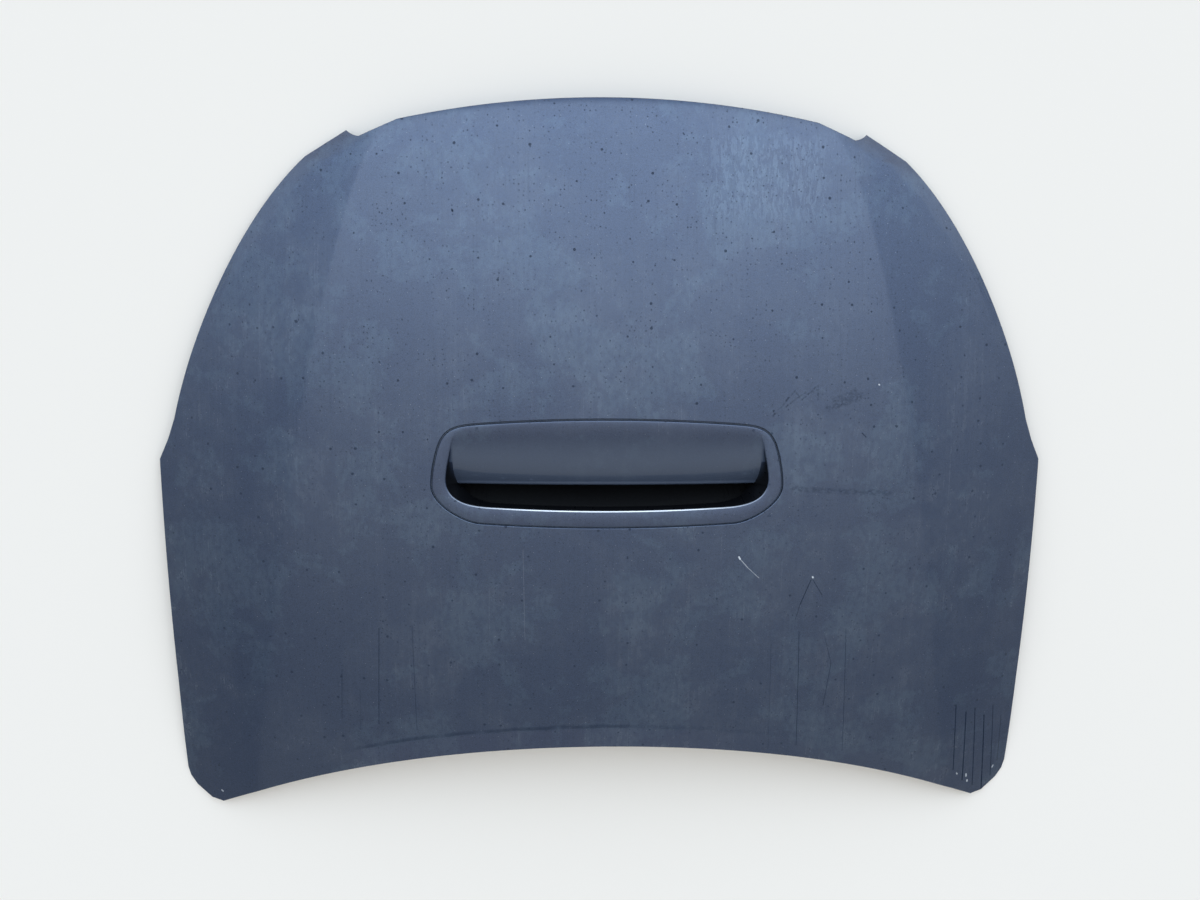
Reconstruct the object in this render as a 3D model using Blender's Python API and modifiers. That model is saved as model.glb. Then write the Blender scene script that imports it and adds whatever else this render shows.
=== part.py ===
# Car bonnet with a flush air intake, lying face up on the floor as it would rest.
# Metres, +Y towards the nose, +Z up, the middle of the bounding box over the origin.
import math

import bmesh
import bpy
from mathutils import Vector

# Plan of the outer skin
NOSE_Y = 0.6200
NOSE_BOW = 0.320
REAR_Y = -0.4610
REAR_BOW = 0.290
REAR_BOW_FOURTH = 0.102
CREASE_START = (0.335, 0.590)
CREASE_SPREAD = 0.240
CREASE_RUN = 0.900
REAR_TIP = (0.686, -0.620)
FENDER_CORNER = (0.7485, -0.556)
WIDEST = (0.753, 0.0235)
LAMP_START = (0.721, 0.095)
LAMP_PULL_REAR = (0.684, 0.238)
LAMP_PULL_FRONT = (0.597, 0.424)
LAMP_BEND = (0.4858, 0.524)
FRONT_TIP = (0.418, 0.5655)
NOTCH_FOOT = (0.3965, 0.557)

# Rise of the outer skin
CROWN_TOP = 0.1501
CROWN_Y = -0.095
CROWN_ALONG = 0.185
CROWN_RADIUS_REAR = 3.10
CROWN_RADIUS_FRONT = 2.60
SHOULDER_FALL = 0.090
SHOULDER_CURVE = 0.220
NOSE_ROLL = 0.008
NOSE_ROLL_LENGTH = 0.060
LAMP_ROLL = 0.011
LAMP_ROLL_WIDTH = 0.048

# Sheet and hem
SKIN_SHEET = 0.0008
INNER_SHEET = 0.0007
GAP = 0.0003
SMOOTH_ANGLE = math.radians(35)
HEM_INSET = 0.0015
HEM_DEPTH = 0.0041
HEM_RETURN = 0.0075
INNER_EDGE = 0.0034
INNER_TOP = 0.0015

# Grid lines: rows as a share of the way from rear to nose, columns over the plateau as a
# share of the way to the crease, columns outside it by distance from the side edge
ROWS = (0, 0.010, 0.022, 0.034, 0.053, 0.100, 0.112, 0.175, 0.240, 0.300, 0.312, 0.335, 0.347,
        0.400, 0.455, 0.510, 0.543, 0.565, 0.577, 0.605, 0.617, 0.680, 0.745, 0.810, 0.880,
        0.892, 0.930, 0.964, 0.977, 0.989, 1.0)
PLATEAU_COLUMNS = (0, 0.08, 0.11, 0.30, 0.48, 0.52, 0.60, 0.64, 0.80, 1.0)
EDGE_COLUMNS = (0.125, 0.112, 0.040, 0.026, 0.012, 0.0)
EDGE_NOMINAL = 0.200
NOTCH_SHARE = 0.80
NOTCH_ROWS = 0.10

# Inner frame
BEAM_DEPTH = 0.0200
EDGE_BEAM_DEPTH = 0.0100
POCKET_DEPTH = 0.0032
HOLE_MARGIN = 0.030
HOLE_ROUND = 0.018
HINGE_HOLE = 0.0090
HINGE_SPACING = 0.034
SEAT_BORDER = 0.004
LATCH_SPACING = 0.040
LATCH_HOLE = 0.0090

# Air intake insert
VENT_FRONT_Y = 0.1233
VENT_FRONT_BOW = 0.2114
VENT_FRONT_END = 0.2041
VENT_FRONT_HANDLE = 0.4814
VENT_SIDE_FRONT = (0.2776, 0.0660)
VENT_SIDE_LEAN = 0.2634
VENT_SIDE_REAR = (0.2864, 0.0094)
VENT_REAR_HANDLE = 0.2983
VENT_REAR_END = 0.2056
VENT_REAR_BOW = 0.1203
VENT_REAR_Y = -0.0575
VENT_STEPS = (5, 6, 3, 8, 5)
VENT_GAP = 0.0025
INSERT_WALL = 0.0025
RIM_ROUND = 0.0014
RIM_DROP = 0.0006
RAMP_DEPTH = 0.0340
RAMP_POWER = 1.6
CREST_Y = 0.0110
CREST_ROUND = 0.0050
THROAT_DEPTH = 0.0500
LIP_FRONT = 0.0060
LIP_SIDE = 0.0215
LIP_REAR = 0.0268
LIP_ROUND = 0.0012
LIP_DROP = 0.0020
WALL_RUN = 0.0150
UNDERCUT = 0.0040
GASKET_TOP = 0.00345
GASKET_OUTSET = 0.0035
GASKET_INSET = 0.0140
GASKET_BOTTOM = 0.00440
STUD_INSET = 0.0085
STUD_RADIUS = 0.0027
STUD_HOLE = 0.0031
STUD_END = 0.0140
STUD_X = (0.080, 0.200)
APERTURE_INSET = 0.0160
DUCT_TOP = 0.0061
DUCT_WALL = 0.0018
DUCT_INSET = 0.0178
DUCT_COLLAR = 0.0120
DUCT_KNEE = 0.0560
DUCT_DEPTH = 0.0960
OUTLET_FRONT = 0.0300
OUTLET_SIDE = 0.0218
OUTLET_REAR = 0.0678
SEAL_WIDTH = 0.0060
SEAL_HEIGHT = 0.0100

# Small parts
LOOP_ROD = 0.0030
LOOP_HALF = 0.0080
LOOP_BEND = 0.0080
LOOP_DROP = 0.0230
PLATE_ROUND = 0.0060
PLATE_MARGIN = 0.0055
HINGE_PLATE = 0.0020
HINGE_PLATE_HALF = 0.0240
LATCH_PLATE = 0.0016
LATCH_PLATE_HALF = 0.0280
STRIKER_PLATE = 0.0030
STRIKER_HALF = 0.0200
NUT_ACROSS = 0.0130
NUT_HEIGHT = 0.0062
NUT_BORE = 0.0040
BOLT_HEAD_ACROSS = 0.0130
BOLT_HEAD_HEIGHT = 0.0045
BOLT_RADIUS = 0.0037
BUFFER_PLACE = (0.285, 0.497)
BUFFER_RADIUS = 0.0130
PROP_PLACE = (0.455, 0.462)
PAD_HALF = (0.012, 0.017)
PAD_STEP = 0.0195
PAD_ROUND = 0.009

COLLECTION = "car_bonnet"
CUTTERS = "cutters"


def start_clean():
    for obj in list(bpy.data.objects):
        bpy.data.objects.remove(obj, do_unlink=True)
    for name in (COLLECTION, CUTTERS):
        bpy.context.scene.collection.children.link(bpy.data.collections.new(name))


def material(name, colour, roughness, metallic):
    made = bpy.data.materials.new(name)
    made.use_nodes = True
    shader = made.node_tree.nodes["Principled BSDF"]
    shader.inputs["Base Color"].default_value = (*colour, 1.0)
    shader.inputs["Roughness"].default_value = roughness
    shader.inputs["Metallic"].default_value = metallic
    return made


def keep(name, mesh, look, collection=COLLECTION):
    mesh.shade_smooth()
    mesh.set_sharp_from_angle(angle=SMOOTH_ANGLE)
    obj = bpy.data.objects.new(name, mesh)
    bpy.data.collections[collection].objects.link(obj)
    if look:
        mesh.materials.append(look)
    return obj


def keep_bmesh(name, work, look, collection=COLLECTION):
    mesh = bpy.data.meshes.new(name)
    work.to_mesh(mesh)
    work.free()
    return keep(name, mesh, look, collection)


# Outline and surface


def nose_y(x):
    return NOSE_Y - NOSE_BOW * x * x


def rear_y(x):
    return REAR_Y - REAR_BOW * x * x - REAR_BOW_FOURTH * x ** 4


def crease_x(y):
    run = max(CREASE_START[1] - y, 0.0)
    return CREASE_START[0] + CREASE_SPREAD * (run / CREASE_RUN) ** 0.6


def bezier(points, t):
    a, b, c, d = (Vector(p) for p in points)
    s = 1.0 - t
    return a * s ** 3 + b * (3 * s * s * t) + c * (3 * s * t * t) + d * t ** 3


def side_path():
    path = [Vector(REAR_TIP), Vector((0.7075, -0.6155)), Vector((0.7340, -0.5920))]
    path += [Vector((0.7450, -0.5740)), Vector(FENDER_CORNER), Vector((0.7478, -0.3800))]
    path += [Vector((0.7500, -0.1700)), Vector(WIDEST), Vector((0.7345, 0.0590))]
    steps = 24
    for i in range(steps + 1):
        path.append(bezier((LAMP_START, LAMP_PULL_REAR, LAMP_PULL_FRONT, LAMP_BEND), i / steps))
    path.append(Vector(FRONT_TIP))
    return path


SIDE = side_path()


def side_x(y):
    for a, b in zip(SIDE, SIDE[1:]):
        if y <= b.y:
            return a.x + (b.x - a.x) * max(0.0, y - a.y) / (b.y - a.y)
    return SIDE[-1].x


def share(value, start, end):
    return min(max((value - start) / (end - start), 0.0), 1.0)


def lamp_roll(x, y):
    strength = share(y, 0.340, 0.500)
    if strength == 0.0:
        return 0.0
    slope = (side_x(y + 0.005) - side_x(y - 0.005)) / 0.010
    distance = (side_x(y) - x) / math.sqrt(1.0 + slope * slope)
    return LAMP_ROLL * strength * (1.0 - share(distance, 0.0, LAMP_ROLL_WIDTH)) ** 2


def skin_z(x, y):
    x = abs(x)
    radius = CROWN_RADIUS_REAR + (CROWN_RADIUS_FRONT - CROWN_RADIUS_REAR) * share(y, -0.5, 0.6)
    rise = CROWN_TOP - CROWN_ALONG * (y - CROWN_Y) ** 2 - x * x / (2.0 * radius)
    outside = max(x - crease_x(y), 0.0)
    rise -= SHOULDER_FALL * outside + SHOULDER_CURVE * outside * outside
    rise -= NOSE_ROLL * share(y, nose_y(x) - NOSE_ROLL_LENGTH, nose_y(x)) ** 2
    return rise - lamp_roll(x, y)


def normal(x, y):
    step = 0.002
    along_x = (skin_z(x + step, y) - skin_z(x - step, y)) / (2 * step)
    along_y = (skin_z(x, y + step) - skin_z(x, y - step)) / (2 * step)
    if x < step:
        along_x = 0.0
    return Vector((-along_x, -along_y, 1.0)).normalized()


def below(x, y, depth):
    return Vector((x, y, skin_z(x, y))) - normal(x, y) * depth


# Grid over half of the panel


def front_line(w):
    start = Vector((CREASE_START[0], nose_y(CREASE_START[0])))
    foot = Vector(NOTCH_FOOT)
    tip = Vector(FRONT_TIP)
    if w <= NOTCH_SHARE:
        return start.lerp(foot, w / NOTCH_SHARE)
    t = (w - NOTCH_SHARE) / (1.0 - NOTCH_SHARE)
    return foot.lerp(tip, t) + Vector((0.10, -0.25)) * (t * (1.0 - t) * (tip - foot).length)


def crease_point(v):
    x = 0.5
    for _ in range(40):
        x = 0.5 * x + 0.5 * crease_x((1 - v) * rear_y(x) + v * nose_y(x))
    return Vector((x, (1 - v) * rear_y(x) + v * nose_y(x)))


def edge_point(v):
    y = REAR_TIP[1] + (FRONT_TIP[1] - REAR_TIP[1]) * v
    return Vector((side_x(y), y))


def column_shares(v):
    inner = crease_point(v)
    outer = edge_point(v)
    width = (outer - inner).length
    squeeze = min(1.0, width / EDGE_NOMINAL)
    shares = [1.0 - d * squeeze / width for d in EDGE_COLUMNS]
    return [shares[0] * 0.5] + shares


def plan_point(v, column):
    if column < len(PLATEAU_COLUMNS):
        x = PLATEAU_COLUMNS[column] * crease_point(v).x
        return Vector((x, (1 - v) * rear_y(x) + v * nose_y(x)))
    w = column_shares(v)[column - len(PLATEAU_COLUMNS)]
    point = crease_point(v).lerp(edge_point(v), w)
    rear_chord = crease_point(0.0).lerp(edge_point(0.0), w)
    point.y += (rear_y(rear_chord.x) - rear_chord.y) * max(0.0, 1.0 - v / 0.4)
    at_front = column_shares(1.0)[column - len(PLATEAU_COLUMNS)]
    front_chord = crease_point(1.0).lerp(edge_point(1.0), at_front)
    bend = front_line(at_front) - front_chord
    return point + bend * max(0.0, 1.0 - (1.0 - v) / NOTCH_ROWS)


COLUMN_COUNT = len(PLATEAU_COLUMNS) + 1 + len(EDGE_COLUMNS)
LAST_COLUMN = COLUMN_COUNT - 1
LAST_ROW = len(ROWS) - 1
EDGE_FIRST = len(PLATEAU_COLUMNS) + 1


def plan_grid():
    return [[plan_point(v, i) for i in range(COLUMN_COUNT)] for v in ROWS]


def rim_keys():
    keys = [(0, i) for i in range(LAST_COLUMN)]
    keys += [(j, LAST_COLUMN) for j in range(LAST_ROW)]
    return keys + [(LAST_ROW, i) for i in range(LAST_COLUMN, -1, -1)]


def inset_loop(points, inset):
    moved = []
    for k, here in enumerate(points):
        before = points[k - 1] if k else Vector((-points[1].x, points[1].y))
        after = points[k + 1] if k + 1 < len(points) else Vector((-points[-2].x, points[-2].y))
        a = (here - before).normalized()
        b = (after - here).normalized()
        inward = Vector((-(a.y + b.y), a.x + b.x)).normalized()
        spread = max(inward.dot(Vector((-a.y, a.x))), 0.7)
        moved.append(here + inward * (inset / spread))
    return moved


def inset_grid(inset):
    grid = plan_grid()
    keys = rim_keys()
    rim = inset_loop([grid[j][i] for j, i in keys], inset)
    for (j, i), point in zip(keys, rim):
        grid[j][i] = point
    return grid


def mirror_sheet(obj, thickness):
    mirror = obj.modifiers.new("Other half", "MIRROR")
    mirror.use_axis = (True, False, False)
    mirror.merge_threshold = 0.0001
    sheet = obj.modifiers.new("Sheet", "SOLIDIFY")
    sheet.thickness = thickness
    sheet.offset = -1.0
    sheet.use_even_offset = True
    sheet.use_quality_normals = True


def cut(obj, cutter):
    hole = obj.modifiers.new("Cut", "BOOLEAN")
    hole.operation = "DIFFERENCE"
    hole.solver = "EXACT"
    hole.object = cutter


def prism(work, loop, low, high):
    bottom = [work.verts.new((p.x, p.y, low)) for p in loop]
    top = [work.verts.new((p.x, p.y, high)) for p in loop]
    work.faces.new(list(reversed(bottom)))
    work.faces.new(top)
    for k in range(len(loop)):
        n = (k + 1) % len(loop)
        work.faces.new((bottom[k], bottom[n], top[n], top[k]))


def slanted(work, x, y, radius, count, top, end):
    """Round bar square to the skin, between two depths below it."""
    upright = normal(x, y) if x >= 0 else normal(-x, y)
    if x < 0:
        upright.x = -upright.x
    high = Vector((x, y, skin_z(x, y))) - upright * top
    ends = []
    for depth in (end, top):
        centre = high - upright * (depth - top)
        ends.append([work.verts.new((p.x, p.y, centre.z - (upright.x * (p.x - centre.x)
                                     + upright.y * (p.y - centre.y)) / upright.z))
                     for p in circle(centre.x, centre.y, radius, count)])
    work.faces.new(list(reversed(ends[0])))
    work.faces.new(ends[1])
    for k in range(count):
        n = (k + 1) % count
        work.faces.new((ends[0][k], ends[0][n], ends[1][n], ends[1][k]))


def cutter_from(name, work):
    bmesh.ops.recalc_face_normals(work, faces=work.faces)
    obj = keep_bmesh(name, work, None, CUTTERS)
    obj.hide_render = True
    obj.display_type = "WIRE"
    return obj


def circle(x, y, radius, count=16):
    turn = 2 * math.pi / count
    return [Vector((x + radius * math.cos(k * turn), y + radius * math.sin(k * turn)))
            for k in range(count)]


def round_corners(points, radii, steps):
    """Half or closed outline with each marked corner replaced by an arc of its own radius."""
    out = []
    for k, here in enumerate(points):
        if not radii[k]:
            out.append(here)
            continue
        a = (points[k - 1] - here).normalized()
        b = (points[(k + 1) % len(points)] - here).normalized()
        half = a.angle(b) / 2.0
        centre = here + (a + b).normalized() * (radii[k] / math.sin(half))
        reach = radii[k] / math.tan(half)
        start = here + a * reach - centre
        end = here + b * reach - centre
        turn = start.angle_signed(end)
        for s in range(steps + 1):
            angle = -turn * s / steps
            out.append(centre + Vector((start.x * math.cos(angle) - start.y * math.sin(angle),
                                        start.x * math.sin(angle) + start.y * math.cos(angle))))
    return out


# Air intake outline, from the front centre round to the rear centre on the +X side


def curve(start, heading, end, arrival, handle, steps):
    """Smooth line between two points with given directions, without its start point."""
    reach = handle * (end - start).length
    pulls = (start, start + heading.normalized() * reach, end - arrival.normalized() * reach, end)
    return [bezier(pulls, k / steps) for k in range(1, steps + 1)]


def vent_base():
    front_end = Vector((VENT_FRONT_END, VENT_FRONT_Y - VENT_FRONT_BOW * VENT_FRONT_END ** 2))
    rear_end = Vector((VENT_REAR_END, VENT_REAR_Y + VENT_REAR_BOW * VENT_REAR_END ** 2))
    lean = Vector((math.sin(VENT_SIDE_LEAN), -math.cos(VENT_SIDE_LEAN)))
    straight = Vector((0.0, -1.0))
    front_count, corner_count, side_count, back_count, rear_count = VENT_STEPS
    path = []
    for k in range(front_count + 1):
        x = VENT_FRONT_END * k / front_count
        path.append(Vector((x, VENT_FRONT_Y - VENT_FRONT_BOW * x * x)))
    path += curve(front_end, Vector((1.0, -2.0 * VENT_FRONT_BOW * VENT_FRONT_END)),
                  Vector(VENT_SIDE_FRONT), lean, VENT_FRONT_HANDLE, corner_count)
    path += curve(Vector(VENT_SIDE_FRONT), lean, Vector(VENT_SIDE_REAR), straight, 1 / 3, side_count)
    path += curve(Vector(VENT_SIDE_REAR), straight, rear_end,
                  Vector((-1.0, -2.0 * VENT_REAR_BOW * VENT_REAR_END)), VENT_REAR_HANDLE, back_count)
    for k in range(rear_count - 1, -1, -1):
        x = VENT_REAR_END * k / rear_count
        path.append(Vector((x, VENT_REAR_Y + VENT_REAR_BOW * x * x)))
    return path


def vent_line(front, side, rear):
    """Half outline moved inwards by its own distance at the front, side and rear."""
    base = vent_base()
    moved = []
    for k, here in enumerate(base):
        before = base[k - 1] if k else Vector((-base[1].x, base[1].y))
        after = base[k + 1] if k + 1 < len(base) else Vector((-base[-2].x, base[-2].y))
        run = (after - before).normalized()
        out = Vector((-run.y, run.x))
        end = front if out.y > 0 else rear
        moved.append(here - out * (side * out.x ** 2 + end * out.y ** 2))
    moved[0].x = 0.0
    moved[-1].x = 0.0
    return moved


def vent_inset(inset):
    return vent_line(inset, inset, inset)


def full_loop(half):
    """Closed outline from its half, with no corner on the plane of symmetry."""
    return half[1:-1] + [Vector((-p.x, p.y)) for p in reversed(half[1:-1])]


def along(path, wanted):
    lengths = [0.0]
    for a, b in zip(path, path[1:]):
        lengths.append(lengths[-1] + (b - a).length)
    target = wanted * lengths[-1]
    for k in range(len(path) - 1):
        if target <= lengths[k + 1] + 1e-12:
            t = (target - lengths[k]) / (lengths[k + 1] - lengths[k])
            return path[k].lerp(path[k + 1], t)
    return path[-1]


# Panels


def build_skin(paint, vent_cutter):
    """Pressed steel outer skin, its edge folded back under the inner frame as a hem."""
    work = bmesh.new()
    grid = inset_grid(HEM_INSET)
    verts = [[work.verts.new(below(p.x, p.y, 0.0)) for p in row] for row in grid]
    for j in range(LAST_ROW):
        for i in range(LAST_COLUMN):
            work.faces.new((verts[j][i], verts[j][i + 1], verts[j + 1][i + 1], verts[j + 1][i]))
    keys = rim_keys()
    plain = plan_grid()
    outline = [plain[j][i] for j, i in keys]
    line = [verts[j][i] for j, i in keys]
    hem = ((0.0, HEM_DEPTH / 2), (HEM_INSET, HEM_DEPTH), (HEM_RETURN, HEM_DEPTH))
    for inset, depth in hem:
        loop = inset_loop(outline, inset)
        fresh = [work.verts.new(below(p.x, p.y, depth)) for p in loop]
        for k in range(len(line) - 1):
            work.faces.new((line[k + 1], line[k], fresh[k], fresh[k + 1]))
        line = fresh
    obj = keep_bmesh("outer_skin", work, paint)
    mirror_sheet(obj, SKIN_SHEET)
    cut(obj, vent_cutter)
    return obj


FLANGE_ROWS = (0, 1, 2, LAST_ROW - 2, LAST_ROW - 1, LAST_ROW)
REAR_POCKET = (6, 9)
VENT_POCKET = (12, 17)
FRONT_POCKET = (20, 24)
NEAR_COLUMNS = (2, 4)
FAR_COLUMNS = (7, EDGE_FIRST)
SIDE_COLUMNS = (8, EDGE_FIRST)


def inside(value, span):
    return span[0] <= value <= span[1]


def frame_depth(j, i):
    if j in FLANGE_ROWS or i >= EDGE_FIRST + 3:
        return INNER_TOP
    raised = INNER_TOP + POCKET_DEPTH
    if inside(j, VENT_POCKET) and i <= EDGE_FIRST:
        return raised
    if inside(j, REAR_POCKET) or inside(j, FRONT_POCKET):
        if inside(i, NEAR_COLUMNS) or inside(i, FAR_COLUMNS):
            return raised
    if i == EDGE_FIRST + 2:
        return INNER_TOP + EDGE_BEAM_DEPTH
    return INNER_TOP + BEAM_DEPTH


HINGE_ROWS = (4, 5)
HINGE_COLUMNS = (EDGE_FIRST + 1, EDGE_FIRST + 2)
LATCH_ROWS = (25, 27)
LATCH_COLUMNS = (0, 2)


def frame_points():
    grid = inset_grid(INNER_EDGE)
    points = [[below(p.x, p.y, frame_depth(j, i)) for i, p in enumerate(row)]
              for j, row in enumerate(grid)]
    hinge = [(j, i) for j in HINGE_ROWS for i in HINGE_COLUMNS]
    latch = [(j, i) for j in range(LATCH_ROWS[0], LATCH_ROWS[1] + 1)
             for i in range(LATCH_COLUMNS[0], LATCH_COLUMNS[1] + 1)]
    for seat in (hinge, latch):
        level = sum(points[j][i].z for j, i in seat) / len(seat)
        for j, i in seat:
            points[j][i].z = level
    return points


FRAME = frame_points()


def seat_centre(rows, columns):
    corners = [FRAME[j][i] for j in rows for i in columns]
    return sum(corners, Vector()) / len(corners)


HINGE_SEAT = seat_centre(HINGE_ROWS, HINGE_COLUMNS)
LATCH_SEAT = Vector((0.0, (FRAME[LATCH_ROWS[0]][0].y + FRAME[LATCH_ROWS[1]][0].y) / 2,
                     FRAME[LATCH_ROWS[0]][0].z))


def hinge_places(side):
    slope = FRAME[5][EDGE_FIRST + 1] - FRAME[4][EDGE_FIRST + 1]
    along_seat = Vector((slope.x, slope.y)).normalized() * (HINGE_SPACING / 2)
    centre = Vector((HINGE_SEAT.x, HINGE_SEAT.y))
    return [Vector((side * p.x, p.y)) for p in (centre - along_seat, centre + along_seat)]


def latch_places():
    return [Vector((s * LATCH_SPACING / 2, LATCH_SEAT.y)) for s in (-1, 1)]


def pocket_hole(rows, columns):
    """Lightening hole that leaves a flange of even width round a raised pocket."""
    corners = [FRAME[rows[0]][columns[0]], FRAME[rows[0]][columns[1]],
               FRAME[rows[1]][columns[1]], FRAME[rows[1]][columns[0]]]
    flat = [Vector((p.x, p.y)) for p in corners]
    shrunk = []
    for k, here in enumerate(flat):
        a = (here - flat[k - 1]).normalized()
        b = (flat[(k + 1) % 4] - here).normalized()
        inward = Vector((-(a.y + b.y), a.x + b.x)).normalized()
        spread = inward.dot(Vector((-a.y, a.x)))
        shrunk.append(here + inward * (HOLE_MARGIN / spread))
    return round_corners(shrunk, (HOLE_ROUND,) * 4, 4)


def pocket_holes():
    holes = [pocket_hole(rows, columns) for rows in (REAR_POCKET, FRONT_POCKET)
             for columns in (NEAR_COLUMNS, FAR_COLUMNS)]
    return holes + [pocket_hole(VENT_POCKET, SIDE_COLUMNS)]


def stud_places():
    path = vent_inset(STUD_INSET)
    places = []
    for x in STUD_X:
        for a, b in zip(path, path[1:]):
            if min(a.x, b.x) <= x <= max(a.x, b.x) and abs(a.x - b.x) > 1e-9:
                point = a.lerp(b, (x - a.x) / (b.x - a.x))
                places += [point, Vector((-point.x, point.y))]
    return places


def build_inner(paint, frame_cutter):
    """Pressed inner frame: beams and ribs hang below the skin, raised pockets lie close to it."""
    work = bmesh.new()
    verts = [[work.verts.new(p) for p in row] for row in FRAME]
    seat = None
    for j in range(LAST_ROW):
        for i in range(LAST_COLUMN):
            face = work.faces.new((verts[j][i], verts[j][i + 1], verts[j + 1][i + 1],
                                   verts[j + 1][i]))
            if (j, i) == (HINGE_ROWS[0], HINGE_COLUMNS[0]):
                seat = face
    bmesh.ops.inset_individual(work, faces=[seat], thickness=SEAT_BORDER, depth=0.0)
    obj = keep_bmesh("inner_frame", work, paint)
    mirror_sheet(obj, INNER_SHEET)
    cut(obj, frame_cutter)
    return obj


def vent_opening_cutter():
    work = bmesh.new()
    prism(work, full_loop(vent_inset(0.0)), 0.08, 0.20)
    return cutter_from("cutter_vent_opening", work)


def frame_cutter():
    work = bmesh.new()
    prism(work, full_loop(vent_inset(APERTURE_INSET)), 0.08, 0.20)
    for hole in pocket_holes():
        prism(work, hole, -0.02, 0.22)
        prism(work, [Vector((-p.x, p.y)) for p in hole], -0.02, 0.22)
    for place in stud_places():
        slanted(work, place.x, place.y, STUD_HOLE, 10, -0.004, 0.012)
    for place in hinge_places(1) + hinge_places(-1):
        prism(work, circle(place.x, place.y, HINGE_HOLE / 2, 12), -0.02, 0.05)
    for place in latch_places():
        prism(work, circle(place.x, place.y, LATCH_HOLE / 2, 12), 0.0, 0.06)
    for side in (-1, 1):
        slanted(work, side * BUFFER_PLACE[0], BUFFER_PLACE[1], 0.0052, 12, 0.010, 0.032)
    slanted(work, PROP_PLACE[0], PROP_PLACE[1], 0.0102, 12, 0.010, 0.032)
    return cutter_from("cutter_inner_frame", work)


def ring(name, look, outer, inner, depth, thickness, cutter=None):
    """Flat ring that follows the crown, from an outer to an inner half outline."""
    work = bmesh.new()
    lines = [[work.verts.new(below(p.x, p.y, depth)) for p in half] for half in (outer, inner)]
    for k in range(len(outer) - 1):
        work.faces.new((lines[0][k + 1], lines[0][k], lines[1][k], lines[1][k + 1]))
    bmesh.ops.recalc_face_normals(work, faces=work.faces)
    if sum(f.normal.z for f in work.faces) < 0:
        bmesh.ops.reverse_faces(work, faces=work.faces)
    obj = keep_bmesh(name, work, look)
    mirror_sheet(obj, thickness)
    if cutter:
        cut(obj, cutter)
    return obj


def stud_hole_cutter():
    work = bmesh.new()
    for place in stud_places():
        slanted(work, place.x, place.y, STUD_HOLE, 10, -0.004, 0.012)
    return cutter_from("cutter_stud_holes", work)


# Air intake insert

COLUMN_SHARES = (0.0, 0.30, 0.56, 0.78, 0.90, 1.0)
RAMP_SHARES = (0.0, 0.08, 0.20, 0.38, 0.58, 0.78, 0.93, 1.0)
ROLL_TURNS = (0.30, 0.65, 1.0)


def at_y(part, y):
    for a, b in zip(part, part[1:]):
        if b.y <= y <= a.y:
            return a.lerp(b, (a.y - y) / (a.y - b.y))
    return part[-1]


def insert_parts(front, side, rear):
    """Half outline as front, side and rear parts that meet at the middles of the corners."""
    path = vent_line(front, side, rear)
    front_end = VENT_STEPS[0] + VENT_STEPS[1] // 2
    rear_start = sum(VENT_STEPS[:3]) + VENT_STEPS[3] // 2
    return (path[:front_end + 1], path[front_end:rear_start + 1],
            list(reversed(path[rear_start:])))


def insert_floor():
    """Places and depths of the ramp, the roll over its crest and the foot of the rear wall."""
    front, side, rear = insert_parts(LIP_FRONT + 0.001, LIP_SIDE, LIP_REAR - UNDERCUT)
    top = side[0].y
    rows = [top + (CREST_Y - top) * r for r in RAMP_SHARES]
    depths = [RAMP_DEPTH * r ** RAMP_POWER for r in RAMP_SHARES]
    for turn in ROLL_TURNS:
        rows.append(CREST_Y - CREST_ROUND * math.sin(turn * math.pi / 2))
        depths.append(RAMP_DEPTH + CREST_ROUND * (1 - math.cos(turn * math.pi / 2)))
    rows.append(rows[-1] - 0.0004)
    depths.append(THROAT_DEPTH)
    fronts = [along(front, s) for s in COLUMN_SHARES]
    crest = at_y(side, CREST_Y).x - WALL_RUN
    places = []
    for j, y in enumerate(rows):
        r = RAMP_SHARES[j] if j < len(RAMP_SHARES) else 1.0
        edge = at_y(side, y) - Vector((WALL_RUN * r, 0.0))
        plain = fronts[-1].lerp(Vector((crest, CREST_Y)), r)
        line = []
        for start in fronts[:-1]:
            place = start.lerp(Vector((start.x * crest / fronts[-1].x, CREST_Y)), r)
            place.x *= edge.x / plain.x
            line.append(Vector((place.x, y)) if j >= len(RAMP_SHARES) else place)
        places.append(line + [edge])
    foot = [along(rear, s) for s in COLUMN_SHARES]
    narrow = 1.0 - WALL_RUN / foot[-1].x
    places.append([Vector((p.x * narrow, p.y)) for p in foot])
    depths.append(THROAT_DEPTH)
    shares = [(top - y) / (top - side[-1].y) for y in rows] + [1.0]
    return places, depths, shares


def insert_ring(insets, depth, depths, shares):
    """Ring of the flush frame, or of its inner edge, which fades out where the ramp starts."""
    front, side, rear = insert_parts(*insets)
    at_lip = insets[1] >= LIP_SIDE
    ring = [(along(front, s), 0.0 if at_lip else depth) for s in COLUMN_SHARES[:-1]]
    for k, s in enumerate(shares):
        y = side[0].y + (side[-1].y - side[0].y) * s
        ring.append((at_y(side, y), min(depth, 0.5 * depths[k]) if at_lip else depth))
    return ring + [(along(rear, s), depth) for s in reversed(COLUMN_SHARES[:-1])]


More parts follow.
